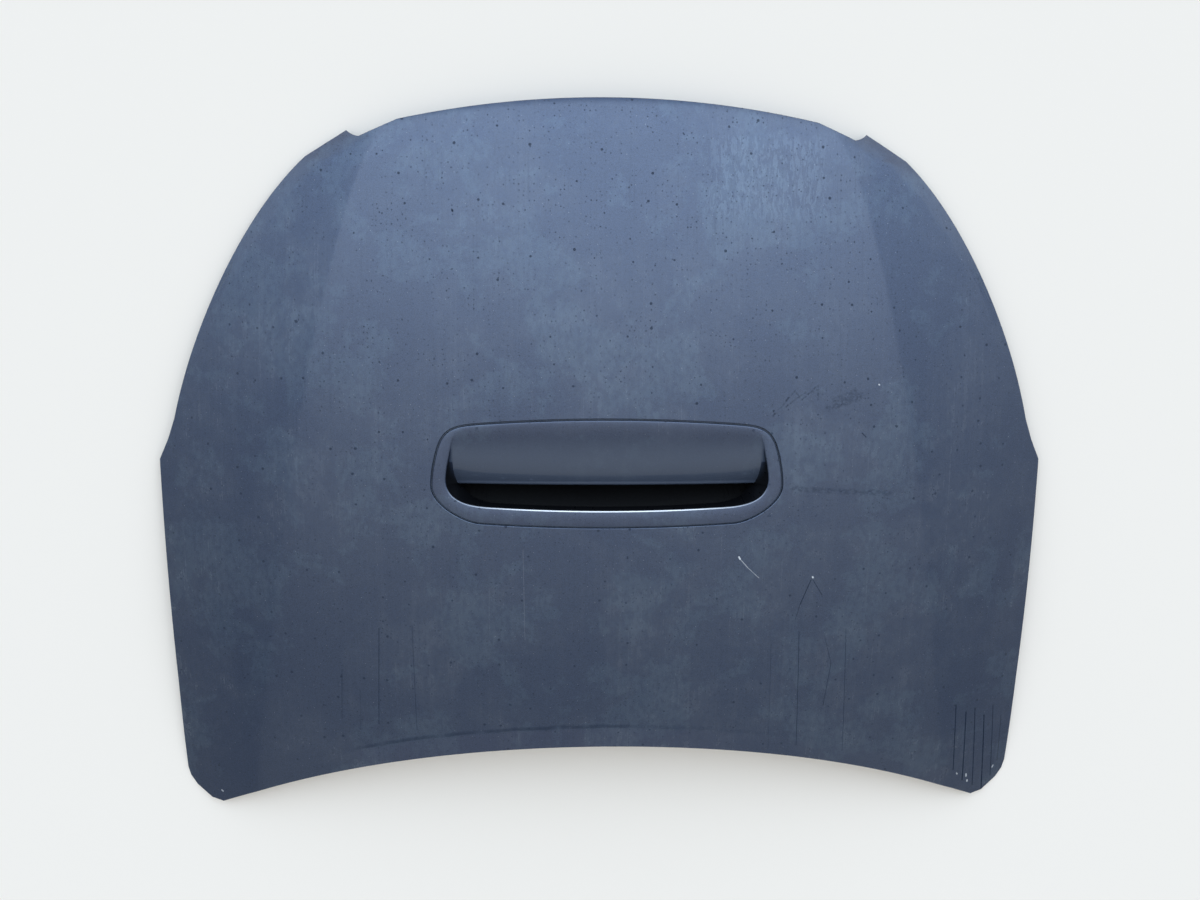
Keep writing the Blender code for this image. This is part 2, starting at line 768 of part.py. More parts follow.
def build_insert(plastic):
    """Moulded plastic intake: flush frame, ramp falling to a throat, rear lip, fixing studs."""
    places, depths, shares = insert_floor()
    work = bmesh.new()
    foot = [[work.verts.new(below(p.x, p.y, depth)) for p in line]
            for line, depth in zip(places, depths)]
    last = len(foot) - 1
    specs = (((VENT_GAP,) * 3, RIM_DROP), ((VENT_GAP + RIM_ROUND,) * 3, 0.0),
             ((LIP_FRONT, LIP_SIDE, LIP_REAR), 0.0002),
             ((LIP_FRONT + 0.0005, LIP_SIDE + LIP_ROUND, LIP_REAR + LIP_ROUND), LIP_DROP))
    lines = []
    for insets, depth in specs:
        ring = insert_ring(insets, depth, depths, shares)
        lines.append([work.verts.new(below(p.x, p.y, d)) for p, d in ring])
    for j in range(last - 1):
        for i in range(len(COLUMN_SHARES) - 1):
            work.faces.new((foot[j][i], foot[j][i + 1], foot[j + 1][i + 1], foot[j + 1][i]))
    inner_line = foot[0] + [foot[j][-1] for j in range(1, last + 1)]
    lines.append(inner_line + list(reversed(foot[last][:-1])))
    for a, b in zip(lines, lines[1:]):
        for k in range(len(a) - 1):
            work.faces.new((a[k], a[k + 1], b[k + 1], b[k]))
    bmesh.ops.recalc_face_normals(work, faces=work.faces)
    if sum(f.normal.z * f.calc_area() for f in work.faces) < 0:
        bmesh.ops.reverse_faces(work, faces=work.faces)
    obj = keep_bmesh("vent_insert", work, plastic)
    mirror_sheet(obj, INSERT_WALL)
    studs = bmesh.new()
    for place in stud_places():
        slanted(studs, place.x, place.y, STUD_RADIUS, 8, 0.0012, STUD_END)
    join = obj.modifiers.new("Studs", "BOOLEAN")
    join.operation = "UNION"
    join.solver = "EXACT"
    join.object = cutter_from("studs", studs)


def build_duct(plastic, cutter):
    """Moulded duct shell on the same studs, enclosing the ramp, open at the bottom."""
    collar = DUCT_INSET + 0.001
    shape = ((vent_inset(-0.001), DUCT_TOP), (vent_inset(DUCT_INSET), DUCT_TOP),
             (vent_inset(collar), DUCT_TOP + DUCT_COLLAR), (vent_inset(collar), DUCT_KNEE),
             (vent_line(OUTLET_FRONT, OUTLET_SIDE, OUTLET_REAR), DUCT_DEPTH))
    work = bmesh.new()
    lines = []
    for half, depth in shape:
        lines.append([work.verts.new(below(p.x, p.y, depth)) for p in half])
    level = min(v.co.z for v in lines[-1])
    for v in lines[-1]:
        v.co.z = level
    for a, b in zip(lines, lines[1:]):
        for k in range(len(a) - 1):
            work.faces.new((a[k + 1], a[k], b[k], b[k + 1]))
    bmesh.ops.recalc_face_normals(work, faces=work.faces)
    if sum(f.normal.z * f.calc_area() for f in work.faces) < 0:
        bmesh.ops.reverse_faces(work, faces=work.faces)
    obj = keep_bmesh("air_duct", work, plastic)
    mirror_sheet(obj, DUCT_WALL)
    cut(obj, cutter)
    return level


def build_duct_seal(rubber, level):
    """Foam strip stuck round the duct outlet, where it meets the cooler below."""
    outer = vent_line(OUTLET_FRONT - 0.0005, OUTLET_SIDE - 0.0005, OUTLET_REAR - 0.0005)
    inner = vent_line(OUTLET_FRONT + SEAL_WIDTH, OUTLET_SIDE + SEAL_WIDTH, OUTLET_REAR + SEAL_WIDTH)
    top = level - 0.0012
    low = top - SEAL_HEIGHT
    work = bmesh.new()
    lines = []
    for half, z in ((outer, top), (inner, top), (inner, low), (outer, low)):
        lines.append([work.verts.new((p.x, p.y, z)) for p in full_loop(half)])
    count = len(lines[0])
    for a, b in zip(lines, lines[1:] + lines[:1]):
        for k in range(count):
            n = (k + 1) % count
            work.faces.new((a[k], a[n], b[n], b[k]))
    bmesh.ops.recalc_face_normals(work, faces=work.faces)
    return keep_bmesh("duct_seal", work, rubber)


# Fixings and small parts


def washer_nut(name, look, seat, across, height, bore, tilt=Vector((0, 0, 1))):
    """Nut with a clear bore, standing below its seat."""
    work = bmesh.new()
    outer = circle(0, 0, across / math.sqrt(3), 6)
    inner = circle(0, 0, bore, 12)
    prism(work, outer, -height, 0.0)
    obj = keep_bmesh(name, work, look)
    hole = bmesh.new()
    prism(hole, inner, -height - 0.002, 0.002)
    cutter = cutter_from("cutter_" + name, hole)
    for piece in (obj, cutter):
        piece.location = seat
        piece.rotation_mode = "QUATERNION"
        piece.rotation_quaternion = Vector((0, 0, 1)).rotation_difference(tilt)
    cut(obj, cutter)
    return obj


def flat_plate(name, look, centre, half_x, half_y, top, thickness, holes, hole_radius, turn=0.0):
    """Rounded plate with holes, lying level."""
    work = bmesh.new()
    corners = [Vector((-half_x, -half_y)), Vector((half_x, -half_y)),
               Vector((half_x, half_y)), Vector((-half_x, half_y))]
    loop = round_corners(corners, (PLATE_ROUND,) * 4, 3)
    turned_loop = [Vector((p.x * math.cos(turn) - p.y * math.sin(turn) + centre.x,
                           p.x * math.sin(turn) + p.y * math.cos(turn) + centre.y)) for p in loop]
    prism(work, turned_loop, top - thickness, top)
    bmesh.ops.recalc_face_normals(work, faces=work.faces)
    obj = keep_bmesh(name, work, look)
    drill = bmesh.new()
    for place in holes:
        prism(drill, circle(place.x, place.y, hole_radius, 12), top - thickness - 0.002,
              top + 0.002)
    cut(obj, cutter_from("cutter_" + name, drill))
    return obj


def build_hinge_side(steel, side, label):
    """Reinforcement above the hinge seat, with two weld nuts on it."""
    slope = FRAME[5][EDGE_FIRST + 1] - FRAME[4][EDGE_FIRST + 1]
    turn = side * (math.atan2(slope.y, slope.x) - math.pi / 2)
    centre = Vector((side * HINGE_SEAT.x, HINGE_SEAT.y))
    top = HINGE_SEAT.z + GAP + HINGE_PLATE
    flat_plate("hinge_reinforcement_" + label, steel, centre, HINGE_PLATE_HALF,
               HINGE_SPACING / 2 + PLATE_MARGIN, top, HINGE_PLATE, hinge_places(side),
               HINGE_HOLE / 2, turn)
    for k, place in enumerate(hinge_places(side)):
        washer_nut("hinge_nut_%s_%d" % (label, k + 1), steel,
                   Vector((place.x, place.y, top + GAP + NUT_HEIGHT)), NUT_ACROSS, NUT_HEIGHT,
                   NUT_BORE)


def build_latch(steel):
    """Latch reinforcement, striker plate, bolts, nuts and loop at the middle of the nose."""
    seat = LATCH_SEAT.z
    centre = Vector((0.0, LATCH_SEAT.y))
    top = seat + GAP + LATCH_PLATE
    half_x = LATCH_SPACING / 2 + PLATE_MARGIN * 2
    flat_plate("latch_reinforcement", steel, centre, half_x, LATCH_PLATE_HALF, top, LATCH_PLATE,
               latch_places(), LATCH_HOLE / 2)
    under = seat - INNER_SHEET - GAP
    flat_plate("striker_plate", steel, centre, half_x, STRIKER_HALF, under, STRIKER_PLATE,
               latch_places(), LATCH_HOLE / 2)
    head = under - STRIKER_PLATE - GAP
    for k, place in enumerate(latch_places()):
        washer_nut("latch_nut_%d" % (k + 1), steel,
                   Vector((place.x, place.y, top + GAP + NUT_HEIGHT)), NUT_ACROSS, NUT_HEIGHT,
                   NUT_BORE + 0.0001)
        build_bolt("latch_bolt_%d" % (k + 1), steel, place, head, top + GAP + NUT_HEIGHT + 0.0015)
    build_striker_loop(steel, head)


def build_bolt(name, look, place, head_top, end):
    """Hexagon-head bolt, head below the plate, shank up through the nut."""
    work = bmesh.new()
    prism(work, circle(0, 0, BOLT_HEAD_ACROSS / math.sqrt(3), 6), -BOLT_HEAD_HEIGHT, 0.0)
    obj = keep_bmesh(name, work, look)
    obj.location = (place.x, place.y, head_top)
    shank = bmesh.new()
    prism(shank, circle(0, 0, BOLT_RADIUS, 12), -BOLT_HEAD_HEIGHT / 2, end - head_top)
    other = cutter_from("shank_" + name, shank)
    other.location = obj.location
    join = obj.modifiers.new("Shank", "BOOLEAN")
    join.operation = "UNION"
    join.solver = "EXACT"
    join.object = other


def tube_object(name, look, points, radius, resolution):
    curve = bpy.data.curves.new(name, "CURVE")
    curve.dimensions = "3D"
    curve.bevel_depth = radius
    curve.bevel_resolution = resolution
    curve.use_fill_caps = True
    spline = curve.splines.new("POLY")
    spline.points.add(len(points) - 1)
    for point, place in zip(spline.points, points):
        point.co = (*place, 1.0)
    rough = bpy.data.objects.new(name + "_line", curve)
    bpy.context.scene.collection.objects.link(rough)
    graph = bpy.context.evaluated_depsgraph_get()
    mesh = bpy.data.meshes.new_from_object(rough.evaluated_get(graph))
    bpy.data.objects.remove(rough, do_unlink=True)
    work = bmesh.new()
    work.from_mesh(mesh)
    bmesh.ops.remove_doubles(work, verts=work.verts, dist=0.00002)
    bmesh.ops.recalc_face_normals(work, faces=work.faces)
    bpy.data.meshes.remove(mesh)
    return keep_bmesh(name, work, look)


def build_striker_loop(look, top):
    """Bent steel rod the latch closes on."""
    y = LATCH_SEAT.y
    low = top - LOOP_DROP
    points = [Vector((-LOOP_HALF, y, top)), Vector((-LOOP_HALF, y, low + LOOP_BEND))]
    steps = 4
    for k in range(1, steps + 1):
        angle = math.pi / 2 * k / steps
        points.append(Vector((-LOOP_HALF + LOOP_BEND * (1 - math.cos(angle)) * 0.75, y,
                              low + LOOP_BEND * (1 - math.sin(angle)))))
    points += [Vector((-p.x, p.y, p.z)) for p in reversed(points)]
    return tube_object("striker_loop", look, points, LOOP_ROD, 2)


def turned(name, look, profile, place, tilt):
    """Body of revolution from a profile of (radius, height) pairs, bottom to top."""
    work = bmesh.new()
    count = 16
    rings = []
    for radius, height in profile:
        if radius == 0.0:
            rings.append([work.verts.new((0.0, 0.0, height))])
            continue
        rings.append([work.verts.new((p.x, p.y, height)) for p in circle(0, 0, radius, count)])
    for a, b in zip(rings, rings[1:]):
        for k in range(count):
            n = (k + 1) % count
            if len(a) == 1:
                work.faces.new((a[0], b[n], b[k]))
            elif len(b) == 1:
                work.faces.new((a[k], a[n], b[0]))
            else:
                work.faces.new((a[k], a[n], b[n], b[k]))
    bmesh.ops.recalc_face_normals(work, faces=work.faces)
    obj = keep_bmesh(name, work, look)
    obj.location = place
    obj.rotation_mode = "QUATERNION"
    obj.rotation_quaternion = Vector((0, 0, 1)).rotation_difference(tilt)
    return obj


def under_frame(x, y):
    """Lower face of the beams at a place on their floor."""
    return below(x, y, INNER_TOP + BEAM_DEPTH + INNER_SHEET)


def build_buffers(rubber):
    """Press-in rubber stops the bonnet rests on when shut."""
    for side, label in ((-1, "left"), (1, "right")):
        x, y = BUFFER_PLACE
        place = under_frame(x, y)
        place.x *= side
        tilt = normal(x, y)
        tilt.x *= side
        r = BUFFER_RADIUS
        profile = ((0.0, -0.0140), (r * 0.62, -0.0140), (r * 0.80, -0.0125), (r, -0.0040),
                   (r, -0.0009), (0.0046, -0.0009), (0.0046, 0.0022), (0.0062, 0.0030),
                   (0.0036, 0.0070), (0.0, 0.0070))
        turned("buffer_" + label, rubber, profile, place, tilt)


def build_prop_grommet(rubber):
    """Rubber socket that takes the end of the support rod."""
    x, y = PROP_PLACE
    place = under_frame(x, y)
    r = 0.0150
    profile = ((0.0, -0.0038), (r * 0.9, -0.0038), (r, -0.0026), (r, -0.0009), (0.0094, -0.0009),
               (0.0094, 0.0024), (0.0112, 0.0034), (0.0080, 0.0078), (0.0, 0.0078))
    turned("prop_grommet", rubber, profile, place, normal(x, y))


def build_front_seal(rubber):
    """Rubber strip clipped under the front beam to meet the grille panel."""
    row = 26
    radius = 0.0050
    points = []
    for i in (8, 7, 6, 5, 4, 3):
        p = FRAME[row][i]
        n = normal(p.x, p.y)
        points.append(p - n * (INNER_SHEET + GAP * 1.5 + radius))
    left = [Vector((-p.x, p.y, p.z)) for p in points]
    for label, line in (("right", points), ("left", left)):
        tube_object("front_seal_" + label, rubber, line, radius, 2)


def pad(name, look, x, y):
    """Dab of soft mastic between a raised pocket and the skin."""
    work = bmesh.new()
    loop = round_corners([Vector((x - PAD_HALF[0], y - PAD_HALF[1])),
                          Vector((x + PAD_HALF[0], y - PAD_HALF[1])),
                          Vector((x + PAD_HALF[0], y + PAD_HALF[1])),
                          Vector((x - PAD_HALF[0], y + PAD_HALF[1]))], (PAD_ROUND,) * 4, 1)
    top = [work.verts.new(below(p.x, p.y, 0.00160)) for p in loop]
    low = [work.verts.new(below(p.x, p.y, INNER_TOP + POCKET_DEPTH - 0.00035)) for p in loop]
    work.faces.new(top)
    work.faces.new(list(reversed(low)))
    for k in range(len(loop)):
        n = (k + 1) % len(loop)
        work.faces.new((low[k], low[n], top[n], top[k]))
    bmesh.ops.recalc_face_normals(work, faces=work.faces)
    return keep_bmesh(name, work, look)


def pad_places():
    places = []
    spots = ((REAR_POCKET, 0), (REAR_POCKET, 1), (FRONT_POCKET, 0), (FRONT_POCKET, 1))
    for rows, which in spots:
        j = rows[which]
        step = 1 if which == 0 else -1
        for columns in (NEAR_COLUMNS, FAR_COLUMNS):
            a = FRAME[j][columns[0]]
            b = FRAME[j][columns[1]]
            inward = FRAME[j + step][columns[0]]
            middle = a.lerp(b, 0.5)
            toward = Vector((inward.x - a.x, inward.y - a.y)).normalized()
            spot = Vector((middle.x, middle.y)) + toward * PAD_STEP
            places.append(spot)
    return places


def build_all():
    start_clean()
    paint = material("blue_grey_paint", (0.060, 0.085, 0.130), 0.30, 0.60)
    plastic = material("painted_moulding", (0.065, 0.085, 0.115), 0.35, 0.30)
    black = material("black_moulding", (0.020, 0.020, 0.022), 0.55, 0.0)
    rubber = material("black_rubber", (0.015, 0.015, 0.015), 0.80, 0.0)
    steel = material("plated_steel", (0.45, 0.44, 0.40), 0.35, 1.0)
    mastic = material("grey_mastic", (0.10, 0.10, 0.11), 0.85, 0.0)
    build_skin(paint, vent_opening_cutter())
    build_inner(paint, frame_cutter())
    studs = stud_hole_cutter()
    build_insert(plastic)
    ring("vent_gasket", rubber, vent_inset(GASKET_OUTSET), vent_inset(GASKET_INSET), GASKET_TOP,
         GASKET_BOTTOM - GASKET_TOP, studs)
    ring("vent_sealer", mastic, vent_inset(-0.012), vent_inset(-0.004), 0.00160, 0.0023)
    level = build_duct(black, studs)
    build_duct_seal(rubber, level)
    for k, place in enumerate(stud_places()):
        tilt = normal(abs(place.x), place.y)
        seat = below(abs(place.x), place.y, DUCT_TOP + DUCT_WALL + 0.0004)
        if place.x < 0:
            tilt.x = -tilt.x
            seat.x = -seat.x
        washer_nut("vent_nut_%d" % (k + 1), steel, seat, 0.010, 0.0040, 0.0031, tilt)
    for side, label in ((-1, "left"), (1, "right")):
        build_hinge_side(steel, side, label)
    build_latch(steel)
    build_buffers(rubber)
    build_prop_grommet(rubber)
    build_front_seal(rubber)
    number = 0
    for spot in pad_places():
        for side in (-1, 1):
            number += 1
            pad("mastic_pad_%02d" % number, mastic, side * spot.x, spot.y)


build_all()
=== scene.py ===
# A car bonnet in weathered blue-grey metallic paint, lying face up on a pale studio floor.
# Metres, +Y towards the nose edge, +Z up out of the painted face.
import math

import bmesh
import bpy
import numpy as np
from mathutils import Matrix, Vector
from mathutils.geometry import delaunay_2d_cdt


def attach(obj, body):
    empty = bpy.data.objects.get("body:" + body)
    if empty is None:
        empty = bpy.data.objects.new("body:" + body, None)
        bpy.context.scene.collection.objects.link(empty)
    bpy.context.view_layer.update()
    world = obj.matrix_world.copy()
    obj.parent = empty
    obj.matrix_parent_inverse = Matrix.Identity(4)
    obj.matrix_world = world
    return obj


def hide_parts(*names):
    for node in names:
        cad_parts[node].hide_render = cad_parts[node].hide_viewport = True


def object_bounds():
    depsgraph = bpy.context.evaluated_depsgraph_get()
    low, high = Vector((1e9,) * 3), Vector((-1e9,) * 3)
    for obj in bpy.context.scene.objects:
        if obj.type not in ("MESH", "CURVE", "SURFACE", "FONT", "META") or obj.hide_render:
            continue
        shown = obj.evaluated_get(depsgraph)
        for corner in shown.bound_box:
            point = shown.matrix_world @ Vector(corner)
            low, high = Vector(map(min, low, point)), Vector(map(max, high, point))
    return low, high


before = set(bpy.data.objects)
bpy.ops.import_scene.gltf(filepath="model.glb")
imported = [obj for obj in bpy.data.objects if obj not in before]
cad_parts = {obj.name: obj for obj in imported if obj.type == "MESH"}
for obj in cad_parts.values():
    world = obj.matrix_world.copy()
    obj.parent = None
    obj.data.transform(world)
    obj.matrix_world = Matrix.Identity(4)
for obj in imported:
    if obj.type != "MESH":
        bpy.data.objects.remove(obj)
cad_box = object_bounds()


# Small helpers for colours, nodes and objects


def linear(code):
    """Linear colour from an sRGB hex code."""
    parts = [int(code[k:k + 2], 16) / 255.0 for k in (1, 3, 5)]
    return tuple(c / 12.92 if c <= 0.04045 else ((c + 0.055) / 1.055) ** 2.4 for c in parts) + (1.0,)


def add(tree, kind, settings, inputs):
    """Adds a node, sets its options, and links or sets its inputs."""
    made = tree.nodes.new(kind)
    for name, value in settings.items():
        setattr(made, name, value)
    for key, value in inputs.items():
        if isinstance(value, bpy.types.NodeSocket):
            tree.links.new(value, made.inputs[key])
        else:
            made.inputs[key].default_value = value
    return made


def calc(tree, operation, a, b=0.0, clamp=False):
    settings = {"operation": operation, "use_clamp": clamp}
    return add(tree, "ShaderNodeMath", settings, {0: a, 1: b}).outputs[0]


def ramp(tree, value, start, end, low=0.0, high=1.0):
    """Smooth step of a value from one level to another."""
    return add(tree, "ShaderNodeMapRange", {"interpolation_type": "SMOOTHSTEP"},
               {"Value": value, "From Min": start, "From Max": end, "To Min": low, "To Max": high}).outputs[0]


def mix(tree, factor, a, b):
    return add(tree, "ShaderNodeMix", {"data_type": "RGBA"}, {0: factor, 6: a, 7: b}).outputs[2]


def stretch(tree, coords, x, y, z):
    """Coordinates scaled to so many repeats a metre along each axis."""
    return add(tree, "ShaderNodeVectorMath", {"operation": "MULTIPLY"},
               {0: coords, 1: (x, y, z)}).outputs[0]


def noise(tree, coords, scale, detail=3.0, roughness=0.55, distortion=0.0):
    return add(tree, "ShaderNodeTexNoise", {}, {"Vector": coords, "Scale": scale, "Detail": detail,
               "Roughness": roughness, "Distortion": distortion}).outputs[0]


def dots(tree, coords, spacing, radius, chance, seed):
    """Round specks of a mean spacing and radius in metres, present in a share of the cells."""
    moved = add(tree, "ShaderNodeVectorMath", {"operation": "ADD"},
                {0: coords, 1: (seed, seed * 0.7, 0.0)}).outputs[0]
    cells = add(tree, "ShaderNodeTexVoronoi", {"voronoi_dimensions": "2D"},
                {"Vector": moved, "Scale": 1.0 / spacing, "Randomness": 0.95})
    pick = add(tree, "ShaderNodeSeparateColor", {}, {0: cells.outputs["Color"]})
    size = calc(tree, "MULTIPLY_ADD", pick.outputs[1], 0.8)
    size.node.inputs[2].default_value = 0.35
    edge = calc(tree, "MULTIPLY", size, radius / spacing)
    inside = calc(tree, "LESS_THAN", cells.outputs["Distance"], edge)
    return calc(tree, "MULTIPLY", inside, calc(tree, "LESS_THAN", pick.outputs[0], chance))


def material(name):
    """New material, its node tree and its coordinates in metres."""
    made = bpy.data.materials.new(name)
    made.use_nodes = True
    tree = made.node_tree
    coords = add(tree, "ShaderNodeTexCoord", {}, {}).outputs["Object"]
    return made, tree, coords


def finish_look(tree, **inputs):
    """Sets or links the inputs of the material's shader by name, with underscores for spaces."""
    shader = tree.nodes["Principled BSDF"]
    for name, value in inputs.items():
        socket = shader.inputs[name.replace("_", " ")]
        if isinstance(value, bpy.types.NodeSocket):
            tree.links.new(value, socket)
        else:
            socket.default_value = value


def bump(tree, height, distance, below=None):
    inputs = {"Height": height, "Distance": distance, "Strength": 1.0}
    if below:
        inputs["Normal"] = below
    return add(tree, "ShaderNodeBump", {}, inputs).outputs[0]


def keep(name, work, look):
    """Object from a bmesh, at the origin, with its material."""
    mesh = bpy.data.meshes.new(name)
    work.to_mesh(mesh)
    work.free()
    obj = bpy.data.objects.new(name, mesh)
    bpy.context.scene.collection.objects.link(obj)
    mesh.materials.append(look)
    return obj


def settle(obj, sharp):
    """Applies the modifiers, and shades smooth but for edges sharper than an angle in degrees."""
    graph = bpy.context.evaluated_depsgraph_get()
    mesh = bpy.data.meshes.new_from_object(obj.evaluated_get(graph))
    mesh.name = obj.name
    obj.modifiers.clear()
    obj.data = mesh
    mesh.shade_smooth()
    mesh.set_sharp_from_angle(angle=math.radians(sharp))
    return mesh


# Outline and crown of the panel
# The nose edge is bowed, the cowl edge hollow, and the sides run from a cut corner at the cowl
# along the wings to a point, then round the headlamps to a notch beside the nose.


NOSE_Y = 0.6197
NOSE_BOW = 0.320
REAR_Y = 0.4610
REAR_BOW = 0.290
REAR_BOW_FOURTH = 0.102
CREASE_X = 0.335
CREASE_SPREAD = 0.240
CROWN_TOP = 0.1501
CROWN_RADIUS_REAR = 3.10
CROWN_ALONG = 0.185
CROWN_MIDDLE = 0.095
OUTLINE_STEP = 0.007
MERGE = 0.00005


def share(value, start, end):
    return min(max((value - start) / (end - start), 0.0), 1.0)


def nose_y(x):
    return NOSE_Y - NOSE_BOW * x * x


def rear_y(x):
    return -REAR_Y - REAR_BOW * x * x - REAR_BOW_FOURTH * x ** 4


def crease_x(y):
    return CREASE_X + CREASE_SPREAD * (max(0.590 - y, 0.0) / 0.900) ** 0.6


def lamp_curve(t):
    a, b, c, d = (Vector(p) for p in ((0.721, 0.095), (0.684, 0.238), (0.597, 0.424), (0.4858, 0.524)))
    s = 1.0 - t
    return a * s ** 3 + b * (3 * s * s * t) + c * (3 * s * t * t) + d * t ** 3


def evenly(points, step):
    """The same line with points no further apart than a step."""
    out = [points[0]]
    for a, b in zip(points, points[1:]):
        count = max(1, math.ceil((b - a).length / step))
        out += [a.lerp(b, k / count) for k in range(1, count + 1)]
    return out


WIDEST_X = cad_box[1][0]
REAR_TIP = Vector((0.686, -0.6195))
FRONT_TIP = Vector((0.418, 0.5655))
NOTCH_FOOT = Vector((0.3965, 0.557))
CREASE_NOSE = Vector((CREASE_X, nose_y(CREASE_X)))
SIDE = [REAR_TIP] + [Vector(p) for p in ((0.7075, -0.6155), (0.7340, -0.5920), (0.7450, -0.5740),
                                         (0.7485, -0.556), (0.7478, -0.3800), (0.7500, -0.1700),
                                         (WIDEST_X, 0.0235), (0.7345, 0.0590))]
SIDE += [lamp_curve(k / 48) for k in range(49)] + [FRONT_TIP]
SIDE_Y = np.array([p.y for p in SIDE])
SIDE_X = np.array([p.x for p in SIDE])


def side_x(y):
    return float(np.interp(y, SIDE_Y, SIDE_X))


def notch_line():
    """Front line from the headlamp's tip round the notch to the crease."""
    reach = (FRONT_TIP - NOTCH_FOOT).length
    curl = [NOTCH_FOOT.lerp(FRONT_TIP, t) + Vector((0.10, -0.25)) * (t * (1.0 - t) * reach)
            for t in (1.0, 0.85, 0.7, 0.55, 0.4, 0.25, 0.12, 0.0)]
    return curl + [CREASE_NOSE]


def outline():
    """Half outline from the middle of the cowl edge to the middle of the nose edge."""
    rear = [Vector((REAR_TIP.x * k / 90, rear_y(REAR_TIP.x * k / 90))) for k in range(91)]
    nose = [Vector((CREASE_NOSE.x * k / 50, nose_y(CREASE_NOSE.x * k / 50))) for k in range(50, -1, -1)]
    return rear + evenly(SIDE, OUTLINE_STEP)[1:] + evenly(notch_line(), OUTLINE_STEP)[1:] + nose[1:]


def surface_z(x, y):
    """Height of the painted face: crowned both ways, with soft creases and rolled front edges."""
    x = abs(x)
    radius = CROWN_RADIUS_REAR - 0.50 * share(y, -0.5, 0.6)
    rise = CROWN_TOP - CROWN_ALONG * (y + CROWN_MIDDLE) ** 2 - x * x / (2.0 * radius)
    beyond = x - crease_x(y)
    soft = 0.0012 + 0.0050 * share(0.5 - y, 0.0, 0.8)
    beyond = 0.5 * (beyond + math.sqrt(beyond * beyond + soft * soft))
    rise -= 0.090 * beyond + 0.220 * beyond * beyond
    rise -= 0.008 * share(y, nose_y(x) - 0.060, nose_y(x)) ** 2
    rise -= 0.0009 * share(y, nose_y(x) - 0.009, nose_y(x)) ** 2
    strength = share(y, 0.200, 0.480)
    if strength > 0.0:
        slope = (side_x(y + 0.005) - side_x(y - 0.005)) / 0.010
        distance = (side_x(y) - x) / math.sqrt(1.0 + slope * slope)
        rise -= 0.0085 * strength * (1.0 - share(distance, 0.0, 0.012 + 0.016 * strength)) ** 1.1
    return rise


def normal(x, y):
    step = 0.0015
    across = 0.0 if abs(x) < step else (surface_z(x + step, y) - surface_z(x - step, y)) / (2 * step)
    along_y = (surface_z(x, y + step) - surface_z(x, y - step)) / (2 * step)
    return Vector((-across, -along_y, 1.0)).normalized()


def below(x, y, depth):
    return Vector((x, y, surface_z(x, y))) - normal(x, y) * depth


def inset_line(points, inset):
    """Half outline moved inwards by a distance, closed by its mirror image at both ends."""
    moved = []
    for k, here in enumerate(points):
        before = points[k - 1] if k else Vector((-points[1].x, points[1].y))
        after = points[k + 1] if k + 1 < len(points) else Vector((-points[-2].x, points[-2].y))
        a = (here - before).normalized()
        b = (after - here).normalized()
        inward = Vector((-(a.y + b.y), a.x + b.x)).normalized()
        spread = max(inward.dot(Vector((-a.y, a.x))), 0.7)
        point = here + inward * (inset / spread)
        if k == 0 or k + 1 == len(points):
            point.x = 0.0
        moved.append(point)
    return moved


# Intake outline, shared by the skin's opening, the insert and the rim of dirt around it

VENT_STEPS = (18, 22, 8, 26, 18)
VENT_FRONT_Y = 0.1233
VENT_FRONT_BOW = 0.2114
VENT_FRONT_END = 0.2041
VENT_REAR_Y = -0.0575
VENT_REAR_BOW = 0.1203
VENT_REAR_END = 0.2056
VENT_SIDE_LEAN = 0.2634


def bezier_run(start, heading, end, arrival, handle, steps):
    """Smooth line between two points with given directions, without its start point."""
    reach = handle * (end - start).length
    b = start + heading.normalized() * reach
    c = end - arrival.normalized() * reach
    line = []
    for k in range(1, steps + 1):
        t = k / steps
        u = 1.0 - t
        line.append(start * u ** 3 + b * (3 * u * u * t) + c * (3 * u * t * t) + end * t ** 3)
    return line


def vent_base():
    front_end = Vector((VENT_FRONT_END, VENT_FRONT_Y - VENT_FRONT_BOW * VENT_FRONT_END ** 2))
    rear_end = Vector((VENT_REAR_END, VENT_REAR_Y + VENT_REAR_BOW * VENT_REAR_END ** 2))
    lean = Vector((math.sin(VENT_SIDE_LEAN), -math.cos(VENT_SIDE_LEAN)))
    flank, heel = Vector((0.2776, 0.0660)), Vector((0.2864, 0.0094))
    straight = Vector((0.0, -1.0))
    front_count, corner_count, side_count, back_count, rear_count = VENT_STEPS
    path = []
    for k in range(front_count + 1):
        x = front_end.x * k / front_count
        path.append(Vector((x, VENT_FRONT_Y - VENT_FRONT_BOW * x * x)))
    front_run = Vector((1.0, -2 * VENT_FRONT_BOW * front_end.x))
    rear_run = Vector((-1.0, -2 * VENT_REAR_BOW * rear_end.x))
    path += bezier_run(front_end, front_run, flank, lean, 0.4814, corner_count)
    path += bezier_run(flank, lean, heel, straight, 1 / 3, side_count)
    path += bezier_run(heel, straight, rear_end, rear_run, 0.2983, back_count)
    for k in range(rear_count - 1, -1, -1):
        x = rear_end.x * k / rear_count
        path.append(Vector((x, VENT_REAR_Y + VENT_REAR_BOW * x * x)))
    return path


def vent_line(front, side, rear):
    """Half outline moved inwards by its own distance at the front, side and rear."""
    base = vent_base()
    moved = []
    for k, here in enumerate(base):
        before = base[k - 1] if k else Vector((-base[1].x, base[1].y))
        after = base[k + 1] if k + 1 < len(base) else Vector((-base[-2].x, base[-2].y))
        run = (after - before).normalized()
        out = Vector((-run.y, run.x))
        end = front if out.y > 0 else rear
        moved.append(here - out * (side * out.x ** 2 + end * out.y ** 2))
    moved[0].x = 0.0
    moved[-1].x = 0.0
    return moved


def vent_inset(inset):
    return vent_line(inset, inset, inset)
